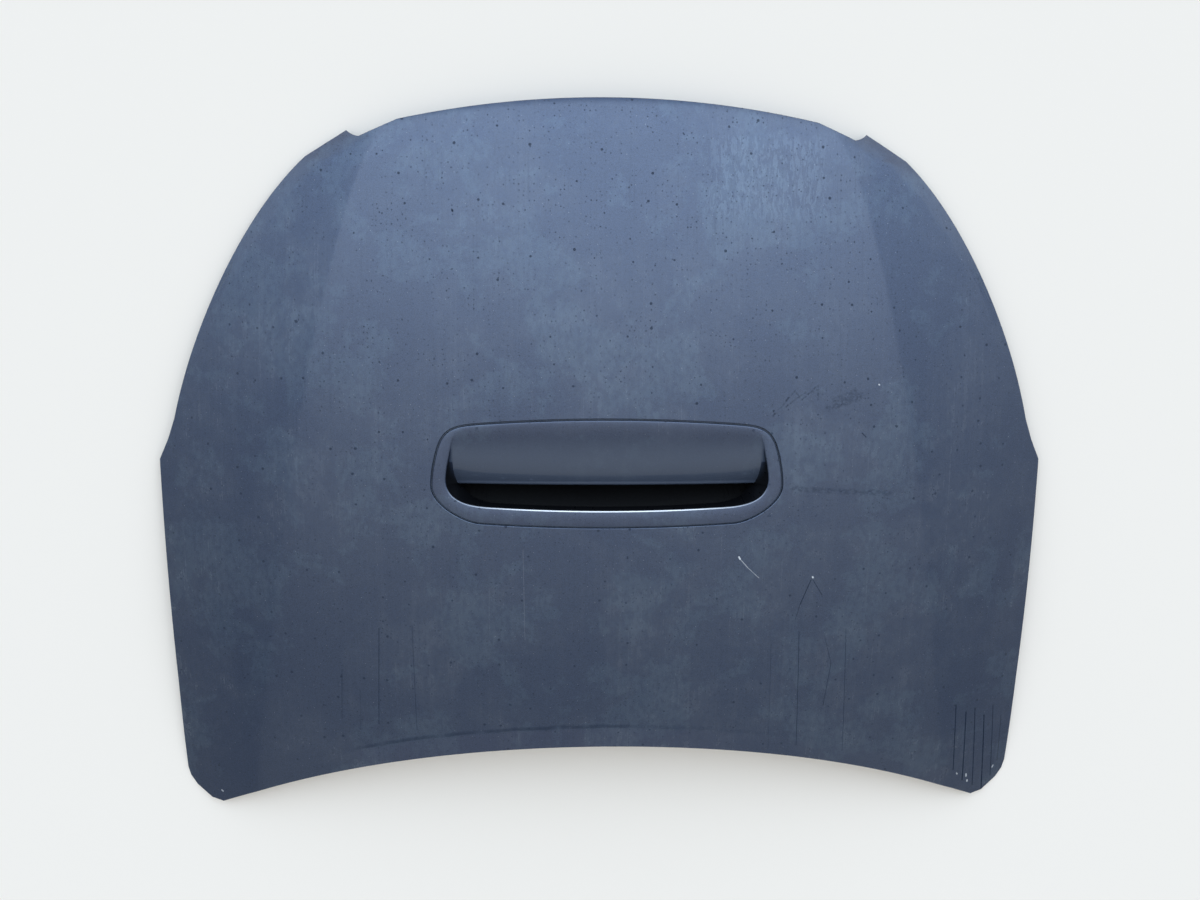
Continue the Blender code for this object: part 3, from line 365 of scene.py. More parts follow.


# Weather marks on the paint
# Dust film, fine dirt specks, and dried water runs that follow the slope from nose to cowl.
# One group makes them for the skin and the intake insert.

weather = bpy.data.node_groups.new("Weather", "ShaderNodeTree")
for socket_name, kind in (("Coords", "NodeSocketVector"), ("Amount", "NodeSocketFloat")):
    weather.interface.new_socket(socket_name, in_out="INPUT", socket_type=kind)
for socket_name in ("Film", "Patches", "Runs", "Streaks", "Specks", "Grit", "Flake"):
    weather.interface.new_socket(socket_name, in_out="OUTPUT", socket_type="NodeSocketFloat")


def build_weather(tree):
    inlet = tree.nodes.new("NodeGroupInput")
    outlet = tree.nodes.new("NodeGroupOutput")
    coords = inlet.outputs["Coords"]
    amount = inlet.outputs["Amount"]
    cloud = noise(tree, coords, 5.5, 6.0, 0.62, 0.4)
    patch = noise(tree, coords, 26.0, 5.0, 0.6, 0.3)
    mottle = noise(tree, stretch(tree, coords, 1.0, 0.55, 1.0), 120.0, 4.0, 0.6)
    film = calc(tree, "MULTIPLY", ramp(tree, cloud, 0.36, 0.66), ramp(tree, patch, 0.32, 0.68, 0.35, 1.0))
    film = calc(tree, "MULTIPLY", film, ramp(tree, mottle, 0.30, 0.62, 0.45, 1.0))
    stain = noise(tree, coords, 7.0, 9.0, 0.68, 0.2)
    patches = calc(tree, "MULTIPLY", ramp(tree, stain, 0.50, 0.56), ramp(tree, mottle, 0.34, 0.60, 0.3, 1.0))
    broad = noise(tree, stretch(tree, coords, 60.0, 2.0, 1.0), 1.0, 4.0, 0.6, 0.15)
    fine = noise(tree, stretch(tree, coords, 230.0, 4.0, 1.0), 1.0, 4.0, 0.62, 0.25)
    hair = noise(tree, stretch(tree, coords, 330.0, 3.2, 1.0), 1.0, 3.0, 0.6, 0.3)
    streaks = calc(tree, "MULTIPLY", ramp(tree, hair, 0.56, 0.68), ramp(tree, patch, 0.38, 0.60))
    runs = calc(tree, "ADD", calc(tree, "MULTIPLY", ramp(tree, broad, 0.50, 0.68), 0.55),
                calc(tree, "MULTIPLY", ramp(tree, fine, 0.56, 0.70), 0.60))
    runs = calc(tree, "MULTIPLY", runs, ramp(tree, cloud, 0.40, 0.62, 0.35, 1.0))
    crowd = ramp(tree, patch, 0.35, 0.62, 0.35, 1.0)
    small = calc(tree, "MULTIPLY", dots(tree, coords, 0.0080, 0.00110, 0.50, 0.0), crowd)
    specks = calc(tree, "MAXIMUM", small, dots(tree, coords, 0.0400, 0.00210, 0.50, 3.1))
    grit = dots(tree, coords, 0.0150, 0.00060, 0.35, 7.7)
    flake = add(tree, "ShaderNodeTexVoronoi", {}, {"Vector": coords, "Scale": 1400.0}).outputs["Color"]
    flake = add(tree, "ShaderNodeSeparateColor", {}, {0: flake}).outputs[0]
    for name, value in (("Film", film), ("Patches", patches), ("Runs", runs), ("Streaks", streaks),
                        ("Specks", specks), ("Grit", grit)):
        tree.links.new(calc(tree, "MULTIPLY", value, amount), outlet.inputs[name])
    tree.links.new(flake, outlet.inputs["Flake"])


build_weather(weather)


# Single marks on the skin: dried drips, scratches, chips and smears
# A stroke is a straight mark between two points of the plan. Noise on its coordinates makes its
# edges ragged.

stroke = bpy.data.node_groups.new("Stroke", "ShaderNodeTree")
for socket_name, kind in (("Coords", "NodeSocketVector"), ("Start", "NodeSocketVector"),
                          ("End", "NodeSocketVector"), ("Width", "NodeSocketFloat")):
    stroke.interface.new_socket(socket_name, in_out="INPUT", socket_type=kind)
stroke.interface.new_socket("Mask", in_out="OUTPUT", socket_type="NodeSocketFloat")


def build_stroke(tree):
    inlet = tree.nodes.new("NodeGroupInput")
    outlet = tree.nodes.new("NodeGroupOutput")

    def vector(operation, a, b, output=0):
        return add(tree, "ShaderNodeVectorMath", {"operation": operation}, {0: a, 1: b}).outputs[output]

    run = vector("SUBTRACT", inlet.outputs["End"], inlet.outputs["Start"])
    here = vector("SUBTRACT", inlet.outputs["Coords"], inlet.outputs["Start"])
    along = calc(tree, "DIVIDE", vector("DOT_PRODUCT", here, run, 1),
                 vector("DOT_PRODUCT", run, run, 1), True)
    nearest = add(tree, "ShaderNodeVectorMath", {"operation": "SCALE"}, {0: run, "Scale": along}).outputs[0]
    gap = vector("LENGTH", vector("SUBTRACT", here, nearest), (0, 0, 0), 1)
    reach = calc(tree, "DIVIDE", gap, inlet.outputs["Width"])
    tree.links.new(ramp(tree, reach, 1.0, 0.35), outlet.inputs["Mask"])


build_stroke(stroke)


def strokes(tree, coords, marks):
    """Mask of the strongest of several strokes: x, y, x, y, half width in mm, strength."""
    flat = stretch(tree, coords, 1.0, 1.0, 0.0)
    total = None
    for x0, y0, x1, y1, width, strength in marks:
        mark = tree.nodes.new("ShaderNodeGroup")
        mark.node_tree = stroke
        tree.links.new(flat, mark.inputs["Coords"])
        mark.inputs["Start"].default_value = (x0, y0, 0.0)
        mark.inputs["End"].default_value = (x1, y1 + 0.00001, 0.0)
        mark.inputs["Width"].default_value = width / 1000.0
        one = calc(tree, "MULTIPLY", mark.outputs["Mask"], strength)
        total = calc(tree, "MAXIMUM", total, one) if total else one
    return total


def wobble(tree, coords, scale, size):
    """Coordinates pushed about by noise, so that drawn marks come out ragged."""
    push = add(tree, "ShaderNodeTexNoise", {},
               {"Vector": coords, "Scale": scale, "Detail": 3.0}).outputs["Color"]
    push = add(tree, "ShaderNodeVectorMath", {"operation": "SUBTRACT"},
               {0: push, 1: (0.5, 0.5, 0.5)}).outputs[0]
    push = add(tree, "ShaderNodeVectorMath", {"operation": "SCALE"}, {0: push, "Scale": size}).outputs[0]
    return add(tree, "ShaderNodeVectorMath", {"operation": "ADD"}, {0: coords, 1: push}).outputs[0]


def rear_line(tree, coords):
    """Ragged line of dirt left along the cowl seal, and the cleaner strip behind it."""
    shaken = wobble(tree, wobble(tree, coords, 18.0, 0.006), 160.0, 0.003)
    axes = add(tree, "ShaderNodeSeparateXYZ", {}, {0: shaken}).outputs
    square = calc(tree, "MULTIPLY", axes["X"], axes["X"])
    bowed = calc(tree, "ADD", calc(tree, "MULTIPLY", square, REAR_BOW),
                 calc(tree, "MULTIPLY", calc(tree, "MULTIPLY", square, square), REAR_BOW_FOURTH))
    reach = calc(tree, "ADD", calc(tree, "ADD", axes["Y"], REAR_Y), bowed)
    band = calc(tree, "MULTIPLY", ramp(tree, reach, 0.0375, 0.0395), ramp(tree, reach, 0.0480, 0.0425))
    ends = calc(tree, "MULTIPLY", ramp(tree, axes["X"], -0.45, -0.40),
                ramp(tree, axes["X"], 0.34, 0.02, 0.15, 1.0))
    patchy = ramp(tree, noise(tree, coords, 30.0, 3.0), 0.32, 0.55, 0.3, 1.0)
    line = calc(tree, "MULTIPLY", calc(tree, "MULTIPLY", band, ends), patchy)
    return line, calc(tree, "MULTIPLY", ramp(tree, reach, 0.038, 0.034), ends)


def dried_rain(tree, coords):
    """Crisp wavy drying lines of rain water behind the nose, to the right of the middle."""
    waves = noise(tree, stretch(tree, coords, 170.0, 48.0, 1.0), 1.0, 3.0, 0.55, 1.1)
    shaken = wobble(tree, coords, 40.0, 0.03)
    axes = add(tree, "ShaderNodeSeparateXYZ", {}, {0: shaken}).outputs
    across = calc(tree, "MULTIPLY", ramp(tree, axes["X"], 0.13, 0.18), ramp(tree, axes["X"], 0.37, 0.32))
    length = calc(tree, "MULTIPLY", ramp(tree, axes["Y"], 0.40, 0.47), ramp(tree, axes["Y"], 0.575, 0.55))
    return calc(tree, "MULTIPLY", ramp(tree, waves, 0.50, 0.55), calc(tree, "MULTIPLY", across, length))


def weathered_paint(name, base, dust, amount, coat, marks=None):
    """Metallic paint under clear coat, with its dirt. marks adds a piece's own scratches and drips."""
    made, tree, coords = material(name)
    dirt = tree.nodes.new("ShaderNodeGroup")
    dirt.node_tree = weather
    tree.links.new(coords, dirt.inputs["Coords"])
    dirt.inputs["Amount"].default_value = amount
    flake = calc(tree, "MULTIPLY_ADD", dirt.outputs["Flake"], 0.5)
    flake.node.inputs[2].default_value = 0.75
    colour = add(tree, "ShaderNodeVectorMath", {"operation": "SCALE"},
                 {0: linear(base)[:3], "Scale": flake}).outputs[0]
    colour = mix(tree, calc(tree, "MULTIPLY", dirt.outputs["Film"], 0.22), colour, linear(dust))
    colour = mix(tree, calc(tree, "MULTIPLY", dirt.outputs["Patches"], 0.075), colour, linear("#7c97a6"))
    colour = mix(tree, calc(tree, "MULTIPLY", dirt.outputs["Runs"], 0.05), colour, linear("#8d939c"))
    dark = calc(tree, "MAXIMUM", calc(tree, "MULTIPLY", dirt.outputs["Specks"], 0.75),
                calc(tree, "MULTIPLY", dirt.outputs["Streaks"], 0.13))
    pale = calc(tree, "MULTIPLY", dirt.outputs["Grit"], 0.18)
    height = calc(tree, "MULTIPLY", dirt.outputs["Specks"], 0.15)
    if marks:
        line, strip = rear_line(tree, coords)
        colour = mix(tree, calc(tree, "MULTIPLY", strip, 0.10), colour, linear("#5a5a78"))
        dark = calc(tree, "MAXIMUM", dark, calc(tree, "MULTIPLY", line, 0.62))
        colour = mix(tree, calc(tree, "MULTIPLY", dried_rain(tree, coords), 0.13), colour, linear("#8597a8"))
        loose = wobble(tree, coords, 140.0, 0.0035)
        tight = wobble(tree, coords, 420.0, 0.0012)
        smear = calc(tree, "MULTIPLY", strokes(tree, loose, marks["smears"]),
                     ramp(tree, noise(tree, coords, 230.0, 4.0), 0.36, 0.62))
        drips = calc(tree, "MULTIPLY", strokes(tree, tight, marks["drips"]), 1.15, True)
        dark = calc(tree, "MAXIMUM", dark, calc(tree, "MAXIMUM", smear, drips))
        pale = calc(tree, "MAXIMUM", pale, strokes(tree, tight, marks["scratches"]))
    colour = mix(tree, calc(tree, "MULTIPLY", dark, 0.78), colour, linear("#1a1f27"))
    colour = mix(tree, pale, colour, linear("#c9ccd0"))
    orange_peel = bump(tree, noise(tree, coords, 260.0, 2.0), 0.000035)
    spots = bump(tree, height, 0.00015, orange_peel)
    dull = calc(tree, "ADD", calc(tree, "MULTIPLY", dirt.outputs["Film"], 0.26),
                calc(tree, "MULTIPLY", dirt.outputs["Runs"], 0.16))
    dull = calc(tree, "ADD", dull, calc(tree, "MULTIPLY", dark, 0.30))
    metal = calc(tree, "SUBTRACT", 0.62, calc(tree, "MULTIPLY", dark, 0.55), True)
    metal = calc(tree, "SUBTRACT", metal, calc(tree, "MULTIPLY", pale, 0.5), True)
    finish_look(tree, Base_Color=colour, Metallic=metal, Roughness=0.42, Normal=spots,
                Specular_IOR_Level=calc(tree, "SUBTRACT", 0.5, calc(tree, "MULTIPLY", dark, 0.5), True),
                Coat_Weight=calc(tree, "SUBTRACT", coat, dark, True),
                Coat_Roughness=calc(tree, "ADD", dull, 0.07), Coat_IOR=1.5, Coat_Normal=orange_peel)
    return made


# Outer skin
# Pressed steel, its edge folded back under the frame all round, with a turned-down flange
# at the intake. Every vertex of the painted face carries the exact normal of the crown.

SKIN_MARKS = {
    "drips": [(-0.3788, -0.2402, -0.3872, -0.4241, 1.0, 0.75), (-0.4458, -0.3223, -0.4512, -0.4162, 0.9, 0.65),
              (-0.3230, -0.2323, -0.3217, -0.4327, 0.9, 0.6), (-0.4167, -0.3589, -0.4193, -0.4382, 0.8, 0.5),
              (0.3265, -0.2489, 0.3363, -0.4705, 1.1, 0.7), (0.3727, -0.2627, 0.3867, -0.3109, 0.9, 0.6),
              (0.3867, -0.3109, 0.3787, -0.3923, 1.0, 0.7), (0.2792, -0.2689, 0.2864, -0.4734, 0.8, 0.5),
              (0.4086, -0.2481, 0.4214, -0.4899, 1.0, 0.65), (0.6281, -0.4174, 0.6404, -0.5570, 1.5, 0.9),
              (0.6504, -0.4355, 0.6627, -0.5838, 1.9, 0.9), (0.6680, -0.4305, 0.6861, -0.6002, 1.6, 0.85),
              (0.6889, -0.4489, 0.7069, -0.6118, 1.9, 0.9), (0.7052, -0.4314, 0.7219, -0.5858, 1.4, 0.8),
              (0.7255, -0.4563, 0.7319, -0.5546, 1.3, 0.7), (0.3416, -0.1551, 0.3252, -0.1984, 1.1, 0.85),
              (0.3252, -0.1984, 0.3182, -0.2263, 0.9, 0.7), (0.3451, -0.1552, 0.3623, -0.1830, 1.0, 0.75),
              (0.4159, 0.0936, 0.4231, 0.0867, 1.3, 0.8), (-0.2467, 0.4459, -0.2460, 0.4444, 2.2, 0.95)],
    "scratches": [(0.2175, -0.1097, 0.2193, -0.1133, 2.0, 0.95), (0.2193, -0.1133, 0.2334, -0.1295, 0.9, 0.55),
                  (0.2334, -0.1295, 0.2527, -0.1478, 0.8, 0.45), (0.3441, -0.1498, 0.3448, -0.1509, 2.1, 0.95),
                  (0.4415, 0.1722, 0.4424, 0.1713, 1.6, 0.8), (-0.6861, -0.5951, -0.6843, -0.5969, 2.0, 0.8),
                  (0.6692, -0.5718, 0.6699, -0.5764, 2.2, 0.75), (0.6734, -0.5861, 0.6738, -0.5885, 2.4, 0.8),
                  (0.6487, -0.5653, 0.6501, -0.5678, 1.7, 0.7), (0.7248, -0.5641, 0.7234, -0.5682, 1.7, 0.7),
                  (-0.1374, -0.0948, -0.1351, -0.2545, 1.2, 0.05)],
    "smears": [(0.3583, 0.1364, 0.4116, 0.1544, 9.0, 0.5), (0.3679, 0.1491, 0.4011, 0.1612, 7.0, 0.45),
               (0.3049, 0.0040, 0.4680, -0.0094, 7.0, 0.5), (0.2656, 0.1256, 0.3007, 0.1653, 1.8, 0.7),
               (0.3007, 0.1653, 0.3128, 0.1505, 1.8, 0.7), (0.3128, 0.1505, 0.3386, 0.1741, 1.7, 0.7),
               (0.3386, 0.1741, 0.3394, 0.1498, 1.6, 0.6), (0.2834, 0.1382, 0.3190, 0.1633, 1.5, 0.6)],
}
skin_paint = weathered_paint("blue_grey_paint", "#35435c", "#6a727e", 1.0, 1.0, SKIN_MARKS)
HEM_ROUND = 0.0015
HEM_DEPTH = 0.0034
HEM_RETURN = 0.0075
FLANGE_ROUND = 0.0012
FLANGE_DEPTH = 0.0042
SHEET = 0.0008


def row_points(v):
    """Crease and side edge at a share of the way from cowl to nose."""
    x = 0.5
    for _ in range(40):
        x = 0.5 * x + 0.5 * crease_x((1 - v) * rear_y(x) + v * nose_y(x))
    crease = Vector((x, (1 - v) * rear_y(x) + v * nose_y(x)))
    side_row = REAR_TIP.y + (FRONT_TIP.y - REAR_TIP.y) * v
    return crease, Vector((side_x(side_row), side_row))


def grid_points():
    """Points spread over half of the painted face, close together along the crease."""
    points = []
    rows = 176
    columns = 62
    for j in range(1, rows):
        v = j / rows
        crease, edge = row_points(v)
        for k in range(columns):
            x = crease.x * k / columns
            points.append(Vector((x, (1 - v) * rear_y(x) + v * nose_y(x))))
        width = max((edge - crease).length, 0.001)
        near = (-0.006, -0.003, -0.0012, 0.0, 0.0012, 0.003, 0.006)
        points += [crease.lerp(edge, reach / width) for reach in near]
        count = max(2, int(width / 0.0075))
        points += [crease.lerp(edge, k / count) for k in range(1, count)]
    return points


def clearance(points, loop):
    """Which points lie inside a closed outline, and how far each is from it."""
    p = np.array([(v.x, v.y) for v in points])
    inside = np.zeros(len(p), bool)
    gap = np.full(len(p), 9.0)
    for k, a in enumerate(loop):
        b = loop[(k + 1) % len(loop)]
        rise = b.y - a.y if b.y != a.y else 1e-12
        cross = a.x + (p[:, 1] - a.y) * (b.x - a.x) / rise
        inside ^= ((a.y > p[:, 1]) != (b.y > p[:, 1])) & (p[:, 0] < cross)
        length = max((b.x - a.x) ** 2 + (b.y - a.y) ** 2, 1e-12)
        t = np.clip(((p[:, 0] - a.x) * (b.x - a.x) + (p[:, 1] - a.y) * (b.y - a.y)) / length, 0, 1)
        gap = np.minimum(gap, np.hypot(p[:, 0] - a.x - t * (b.x - a.x), p[:, 1] - a.y - t * (b.y - a.y)))
    return inside, gap


def folded_edge(work, line, plan, rings):
    """Strips of faces from an edge line through rings of inset and depth."""
    for inset, depth in rings:
        fresh = [work.verts.new(below(p.x, p.y, depth)) for p in inset_line(plan, inset)]
        for k in range(len(line) - 1):
            work.faces.new((line[k + 1], line[k], fresh[k], fresh[k + 1]))
        line = fresh


def rounded(inset, depth):
    """Rings of a quarter round, from the face down to a depth."""
    turns = [t * math.pi / 2 for t in (0.26, 0.5, 0.74, 1.0)]
    return [(inset * (1 - math.sin(turn)), depth * (1 - math.cos(turn))) for turn in turns]


def turn_outwards(work):
    bmesh.ops.recalc_face_normals(work, faces=work.faces)
    if sum(f.normal.z * f.calc_area() for f in work.faces) < 0:
        bmesh.ops.reverse_faces(work, faces=work.faces)


def mirrored_sheet(obj, thickness, sharp):
    """Mirrors the half, gives it a wall below its face, and settles it."""
    mirror = obj.modifiers.new("Other half", "MIRROR")
    mirror.merge_threshold = MERGE
    wall = obj.modifiers.new("Wall", "SOLIDIFY")
    wall.thickness = thickness
    wall.offset = -1.0
    return settle(obj, sharp)


def build_skin():
    plan = outline()
    opening = list(reversed(vent_inset(0.0)))
    rim = inset_line(plan, HEM_ROUND)
    lip = inset_line(opening, -FLANGE_ROUND)
    nose_middle, lip_front = rim[-1], lip[-1]
    seam_front = evenly([nose_middle, lip_front], OUTLINE_STEP)[1:-1]
    seam_rear = evenly([lip[0], rim[0]], OUTLINE_STEP)[1:-1]
    loop = rim + seam_front + list(reversed(lip)) + seam_rear
    fill = grid_points()
    inside, gap = clearance(fill, loop)
    kept = [p for p, within, away in zip(fill, inside, gap) if within and away > 0.0028]
    count = len(loop)
    edges = [(k, (k + 1) % count) for k in range(count)]
    places, _, faces, origins = delaunay_2d_cdt(loop + kept, edges, [], 1, 1e-7)[:4]
    work = bmesh.new()
    verts = [work.verts.new((p.x, p.y, surface_z(p.x, p.y))) for p in places]
    at = {given: verts[k] for k, origin in enumerate(origins) for given in origin}
    middles = [Vector(sum((places[k] for k in face), Vector((0, 0))) / len(face)) for face in faces]
    inside, _ = clearance(middles, loop)
    for face, within in zip(faces, inside):
        if within:
            work.faces.new([verts[k] for k in face])
    hem = rounded(HEM_ROUND, HEM_ROUND)
    hem += [(0.0, HEM_DEPTH - 0.0012), (0.0004, HEM_DEPTH - 0.0003)]
    hem += [(0.0012, HEM_DEPTH), (HEM_RETURN, HEM_DEPTH)]
    folded_edge(work, [at[k] for k in range(len(rim))], plan, hem)
    start = len(rim) + len(seam_front)
    flange = rounded(-FLANGE_ROUND, FLANGE_ROUND)
    lip_verts = [at[start + k] for k in range(len(lip) - 1, -1, -1)]
    folded_edge(work, lip_verts, opening, flange + [(0.0, FLANGE_DEPTH)])
    turn_outwards(work)
    obj = keep("skin", work, skin_paint)
    mesh = mirrored_sheet(obj, SHEET, 40.0)
    exact = []
    for vert in mesh.vertices:
        x, y, z = vert.co
        on_face = abs(z - surface_z(x, y)) < 0.00001
        upright = normal(abs(x), y) if on_face else Vector((0.0, 0.0, 0.0))
        exact.append((math.copysign(upright.x, x) if x else 0.0, upright.y, upright.z))
    mesh.normals_split_custom_set_from_vertices(exact)
    return obj


skin = build_skin()
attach(skin, "root")
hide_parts("outer_skin")


# Intake insert
# Moulded and painted to match: a flush frame with soft edges, a ramp that falls to a crest,
# a roll over the crest into the throat, sloping side walls and a raised rear lip.

insert_paint = weathered_paint("painted_moulding", "#36425a", "#646e80", 0.8, 1.0)


def shade_moulding(made):
    """The ramp's faces that tilt back to the cowl are paler, a painted reflection; every steep face is
    near-black with no coat, painted shade in the throat and the shut gap; the rear lip's edge gets a pale
    painted highlight.
    """
    tree = made.node_tree
    shader = tree.nodes["Principled BSDF"]
    slopes = add(tree, "ShaderNodeTexCoord", {}, {}).outputs["Normal"]
    axes = add(tree, "ShaderNodeSeparateXYZ", {}, {0: slopes})
    # Faces tilting back towards the cowl, the ramp, are painted paler: a painted reflection of the surroundings.
    painted_ramp_reflection = ramp(tree, axes.outputs["Y"], -0.08, -0.34)
    # Every steep face (throat walls, side walls and the frame's edge down into the shut gap) is painted
    # near-black: painted shade.
    painted_throat_shade = ramp(tree, axes.outputs["Z"], 0.68, 0.42)
    painted_ramp_reflection = calc(tree, "SUBTRACT", painted_ramp_reflection, painted_throat_shade, True)
    paint = shader.inputs["Base Color"].links[0].from_socket
    metal = shader.inputs["Metallic"].links[0].from_socket
    gloss = shader.inputs["Specular IOR Level"].links[0].from_socket
    coat = shader.inputs["Coat Weight"].links[0].from_socket
    # Paler blue-grey mixed onto the ramp: painted reflection.
    paint = mix(tree, calc(tree, "MULTIPLY", painted_ramp_reflection, 0.42), paint, linear("#748197"))
    place = add(tree, "ShaderNodeTexCoord", {}, {}).outputs["Object"]
    place = add(tree, "ShaderNodeSeparateXYZ", {}, {0: place}).outputs
    # Painted highlight: the rear lip's rounded edge that faces the nose, fading towards the ends and kept off
    # the front edge.
    edge = calc(tree, "MULTIPLY", ramp(tree, axes.outputs["Y"], 0.24, 0.45),
                ramp(tree, axes.outputs["Z"], 0.30, 0.50))
    edge = calc(tree, "MULTIPLY", edge, ramp(tree, place["Y"], 0.055, 0.040))
    edge = calc(tree, "MULTIPLY", edge, ramp(tree, calc(tree, "ABSOLUTE", place["X"]), 0.10, 0.26, 1.0, 0.12))
    # The painted highlight is near-white and has no metal.
    paint = mix(tree, edge, paint, linear("#f2f4f8"))
    metal = calc(tree, "SUBTRACT", metal, edge, True)
    # Here the steep faces are made near-black, with no metal and no coat: painted shade.
    finish_look(tree, Base_Color=mix(tree, painted_throat_shade, paint, linear("#0b0c0f")),
                Metallic=calc(tree, "SUBTRACT", metal, painted_throat_shade, True),
                Specular_IOR_Level=calc(tree, "SUBTRACT", gloss, calc(tree, "MULTIPLY", painted_throat_shade, 0.35), True),
                Coat_Weight=calc(tree, "SUBTRACT", coat, painted_throat_shade, True))


shade_moulding(insert_paint)
INSERT_WALL = 0.0025
RAMP_DEPTH = 0.0340
CREST_Y = 0.0110
CREST_ROUND = 0.0050
THROAT_DEPTH = 0.0500
LIP_FRONT = 0.0060
LIP_SIDE = 0.0215
LIP_REAR = 0.0268
WALL_RUN = 0.0150
UNDERCUT = 0.0040
ACROSS = [k / 44 for k in range(45)]
DOWN = [(k / 34) ** 1.25 for k in range(35)]
DROP = (0.0390, 0.0402, 0.0415, 0.0430, 0.0445, 0.0460, 0.0475, 0.0488, 0.0500)


def along(path, wanted):
    lengths = [0.0]
    for a, b in zip(path, path[1:]):
        lengths.append(lengths[-1] + (b - a).length)
    target = wanted * lengths[-1]
    for k in range(len(path) - 1):
        if target <= lengths[k + 1] + 1e-12:
            return path[k].lerp(path[k + 1], (target - lengths[k]) / (lengths[k + 1] - lengths[k]))
    return path[-1]


def at_y(part, y):
    for a, b in zip(part, part[1:]):
        if b.y <= y <= a.y:
            return a.lerp(b, (a.y - y) / (a.y - b.y))
    return part[-1]


def insert_parts(front, side, rear):
    """Half outline as front, side and rear parts that meet at the middles of the corners."""
    path = vent_line(front, side, rear)
    if side >= LIP_SIDE:
        first = next(k for k, p in enumerate(path) if p.y < 0.026)
        last = next(k for k, p in enumerate(path) if k > first and p.x < 0.200)
        path[first + 1:last + 1] = bezier_run(path[first], Vector((0.0, -1.0)), path[last],
                                              Vector((-1.0, -0.05)), 0.43, last - first)
    front_end = VENT_STEPS[0] + VENT_STEPS[1] // 2
    rear_start = sum(VENT_STEPS[:3]) + VENT_STEPS[3] // 2
    return path[:front_end + 1], path[front_end:rear_start + 1], list(reversed(path[rear_start:]))


def insert_floor():
    """Places, depths and shares of the ramp, the roll over its crest and the rear wall's foot."""
    front, side, rear = insert_parts(LIP_FRONT + 0.001, LIP_SIDE, LIP_REAR - UNDERCUT)
    top = side[0].y
    rows = [top + (CREST_Y - top) * r for r in DOWN]
    depths = [RAMP_DEPTH * r ** 1.6 for r in DOWN]
    for k in range(1, 9):
        turn = k / 8 * math.pi / 2
        rows.append(CREST_Y - CREST_ROUND * math.sin(turn))
        depths.append(RAMP_DEPTH + CREST_ROUND * (1 - math.cos(turn)))
    for depth in DROP[1:]:
        rows.append(rows[-1] - 0.0001)
        depths.append(depth)
    fronts = [along(front, s) for s in ACROSS]
    crest = at_y(side, CREST_Y).x - WALL_RUN
    places = []
    for j, y in enumerate(rows):
        r = DOWN[j] if j < len(DOWN) else 1.0
        edge = at_y(side, y) - Vector((WALL_RUN * r, 0.0))
        plain = fronts[-1].lerp(Vector((crest, CREST_Y)), r)
        line = []
        for start in fronts[:-1]:
            place = start.lerp(Vector((start.x * crest / fronts[-1].x, CREST_Y)), r)
            place.x *= edge.x / plain.x
            line.append(Vector((place.x, y)) if j >= len(DOWN) else place)
        places.append(line + [edge])
    foot = [along(rear, s) for s in ACROSS]
    narrow = 1.0 - WALL_RUN / foot[-1].x
    places.append([Vector((p.x * narrow, p.y)) for p in foot])
    depths.append(THROAT_DEPTH)
    shares = [(top - y) / (top - side[-1].y) for y in rows] + [1.0]
    turn = len(rows) - len(DROP) + 1
    for k in range(turn, len(rows)):
        shares[k] = shares[turn - 1] + (1.0 - shares[turn - 1]) * (k - turn + 1) / len(DROP)
    return places, depths, shares


def insert_ring(insets, depth, shares, depths):
    """One ring of the flush frame, or of its inner edge, which fades out where the ramp starts."""
    front, side, rear = insert_parts(*insets)
    at_lip = insets[1] >= LIP_SIDE
    ring = [(along(front, s), 0.0 if at_lip else depth) for s in ACROSS[:-1]]
    for k, s in enumerate(shares):
        y = side[0].y + (side[-1].y - side[0].y) * s
        ring.append((at_y(side, y), min(depth, 0.5 * depths[k]) if at_lip else depth))
    return ring + [(along(rear, s), depth) for s in reversed(ACROSS[:-1])]


def build_insert():
    places, depths, shares = insert_floor()
    work = bmesh.new()
    foot = [[work.verts.new(below(p.x, p.y, depth)) for p in line] for line, depth in zip(places, depths)]
    last = len(foot) - 1
    rings = []
    for inset, depth in ((0.0025, 0.0024), (0.0025, 0.0013), (0.0027, 0.0008), (0.0031, 0.0004),
                         (0.0036, 0.0001), (0.0042, 0.0)):
        rings.append(insert_ring((inset,) * 3, depth, shares, depths))
    for step, depth in ((0.0, 0.0), (0.0010, 0.0003), (0.0019, 0.0009), (0.0025, 0.0019),
                        (0.0028, 0.0032)):
        insets = (LIP_FRONT + step / 3, LIP_SIDE + step, LIP_REAR + step)
        rings.append(insert_ring(insets, depth, shares, depths))
    lines = [[work.verts.new(below(p.x, p.y, depth)) for p, depth in ring] for ring in rings]
    for j in range(last - 1):
        for i in range(len(ACROSS) - 1):
            work.faces.new((foot[j][i], foot[j][i + 1], foot[j + 1][i + 1], foot[j + 1][i]))
    inner = foot[0] + [foot[j][-1] for j in range(1, last + 1)] + list(reversed(foot[last][:-1]))
    lines.append(inner)
    for a, b in zip(lines, lines[1:]):
        for k in range(len(a) - 1):
            work.faces.new((a[k], a[k + 1], b[k + 1], b[k]))
    turn_outwards(work)
    obj = keep("intake_insert", work, insert_paint)
    mirrored_sheet(obj, INSERT_WALL, 50.0)
    return obj


insert = build_insert()
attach(insert, "root")
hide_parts("vent_insert")


# Pressed inner frame
# One pressed steel frame of beams, ribs and pockets, glued under the skin. It carries a coat of
# the body colour, thinner and duller than the outside, with stains and dust.


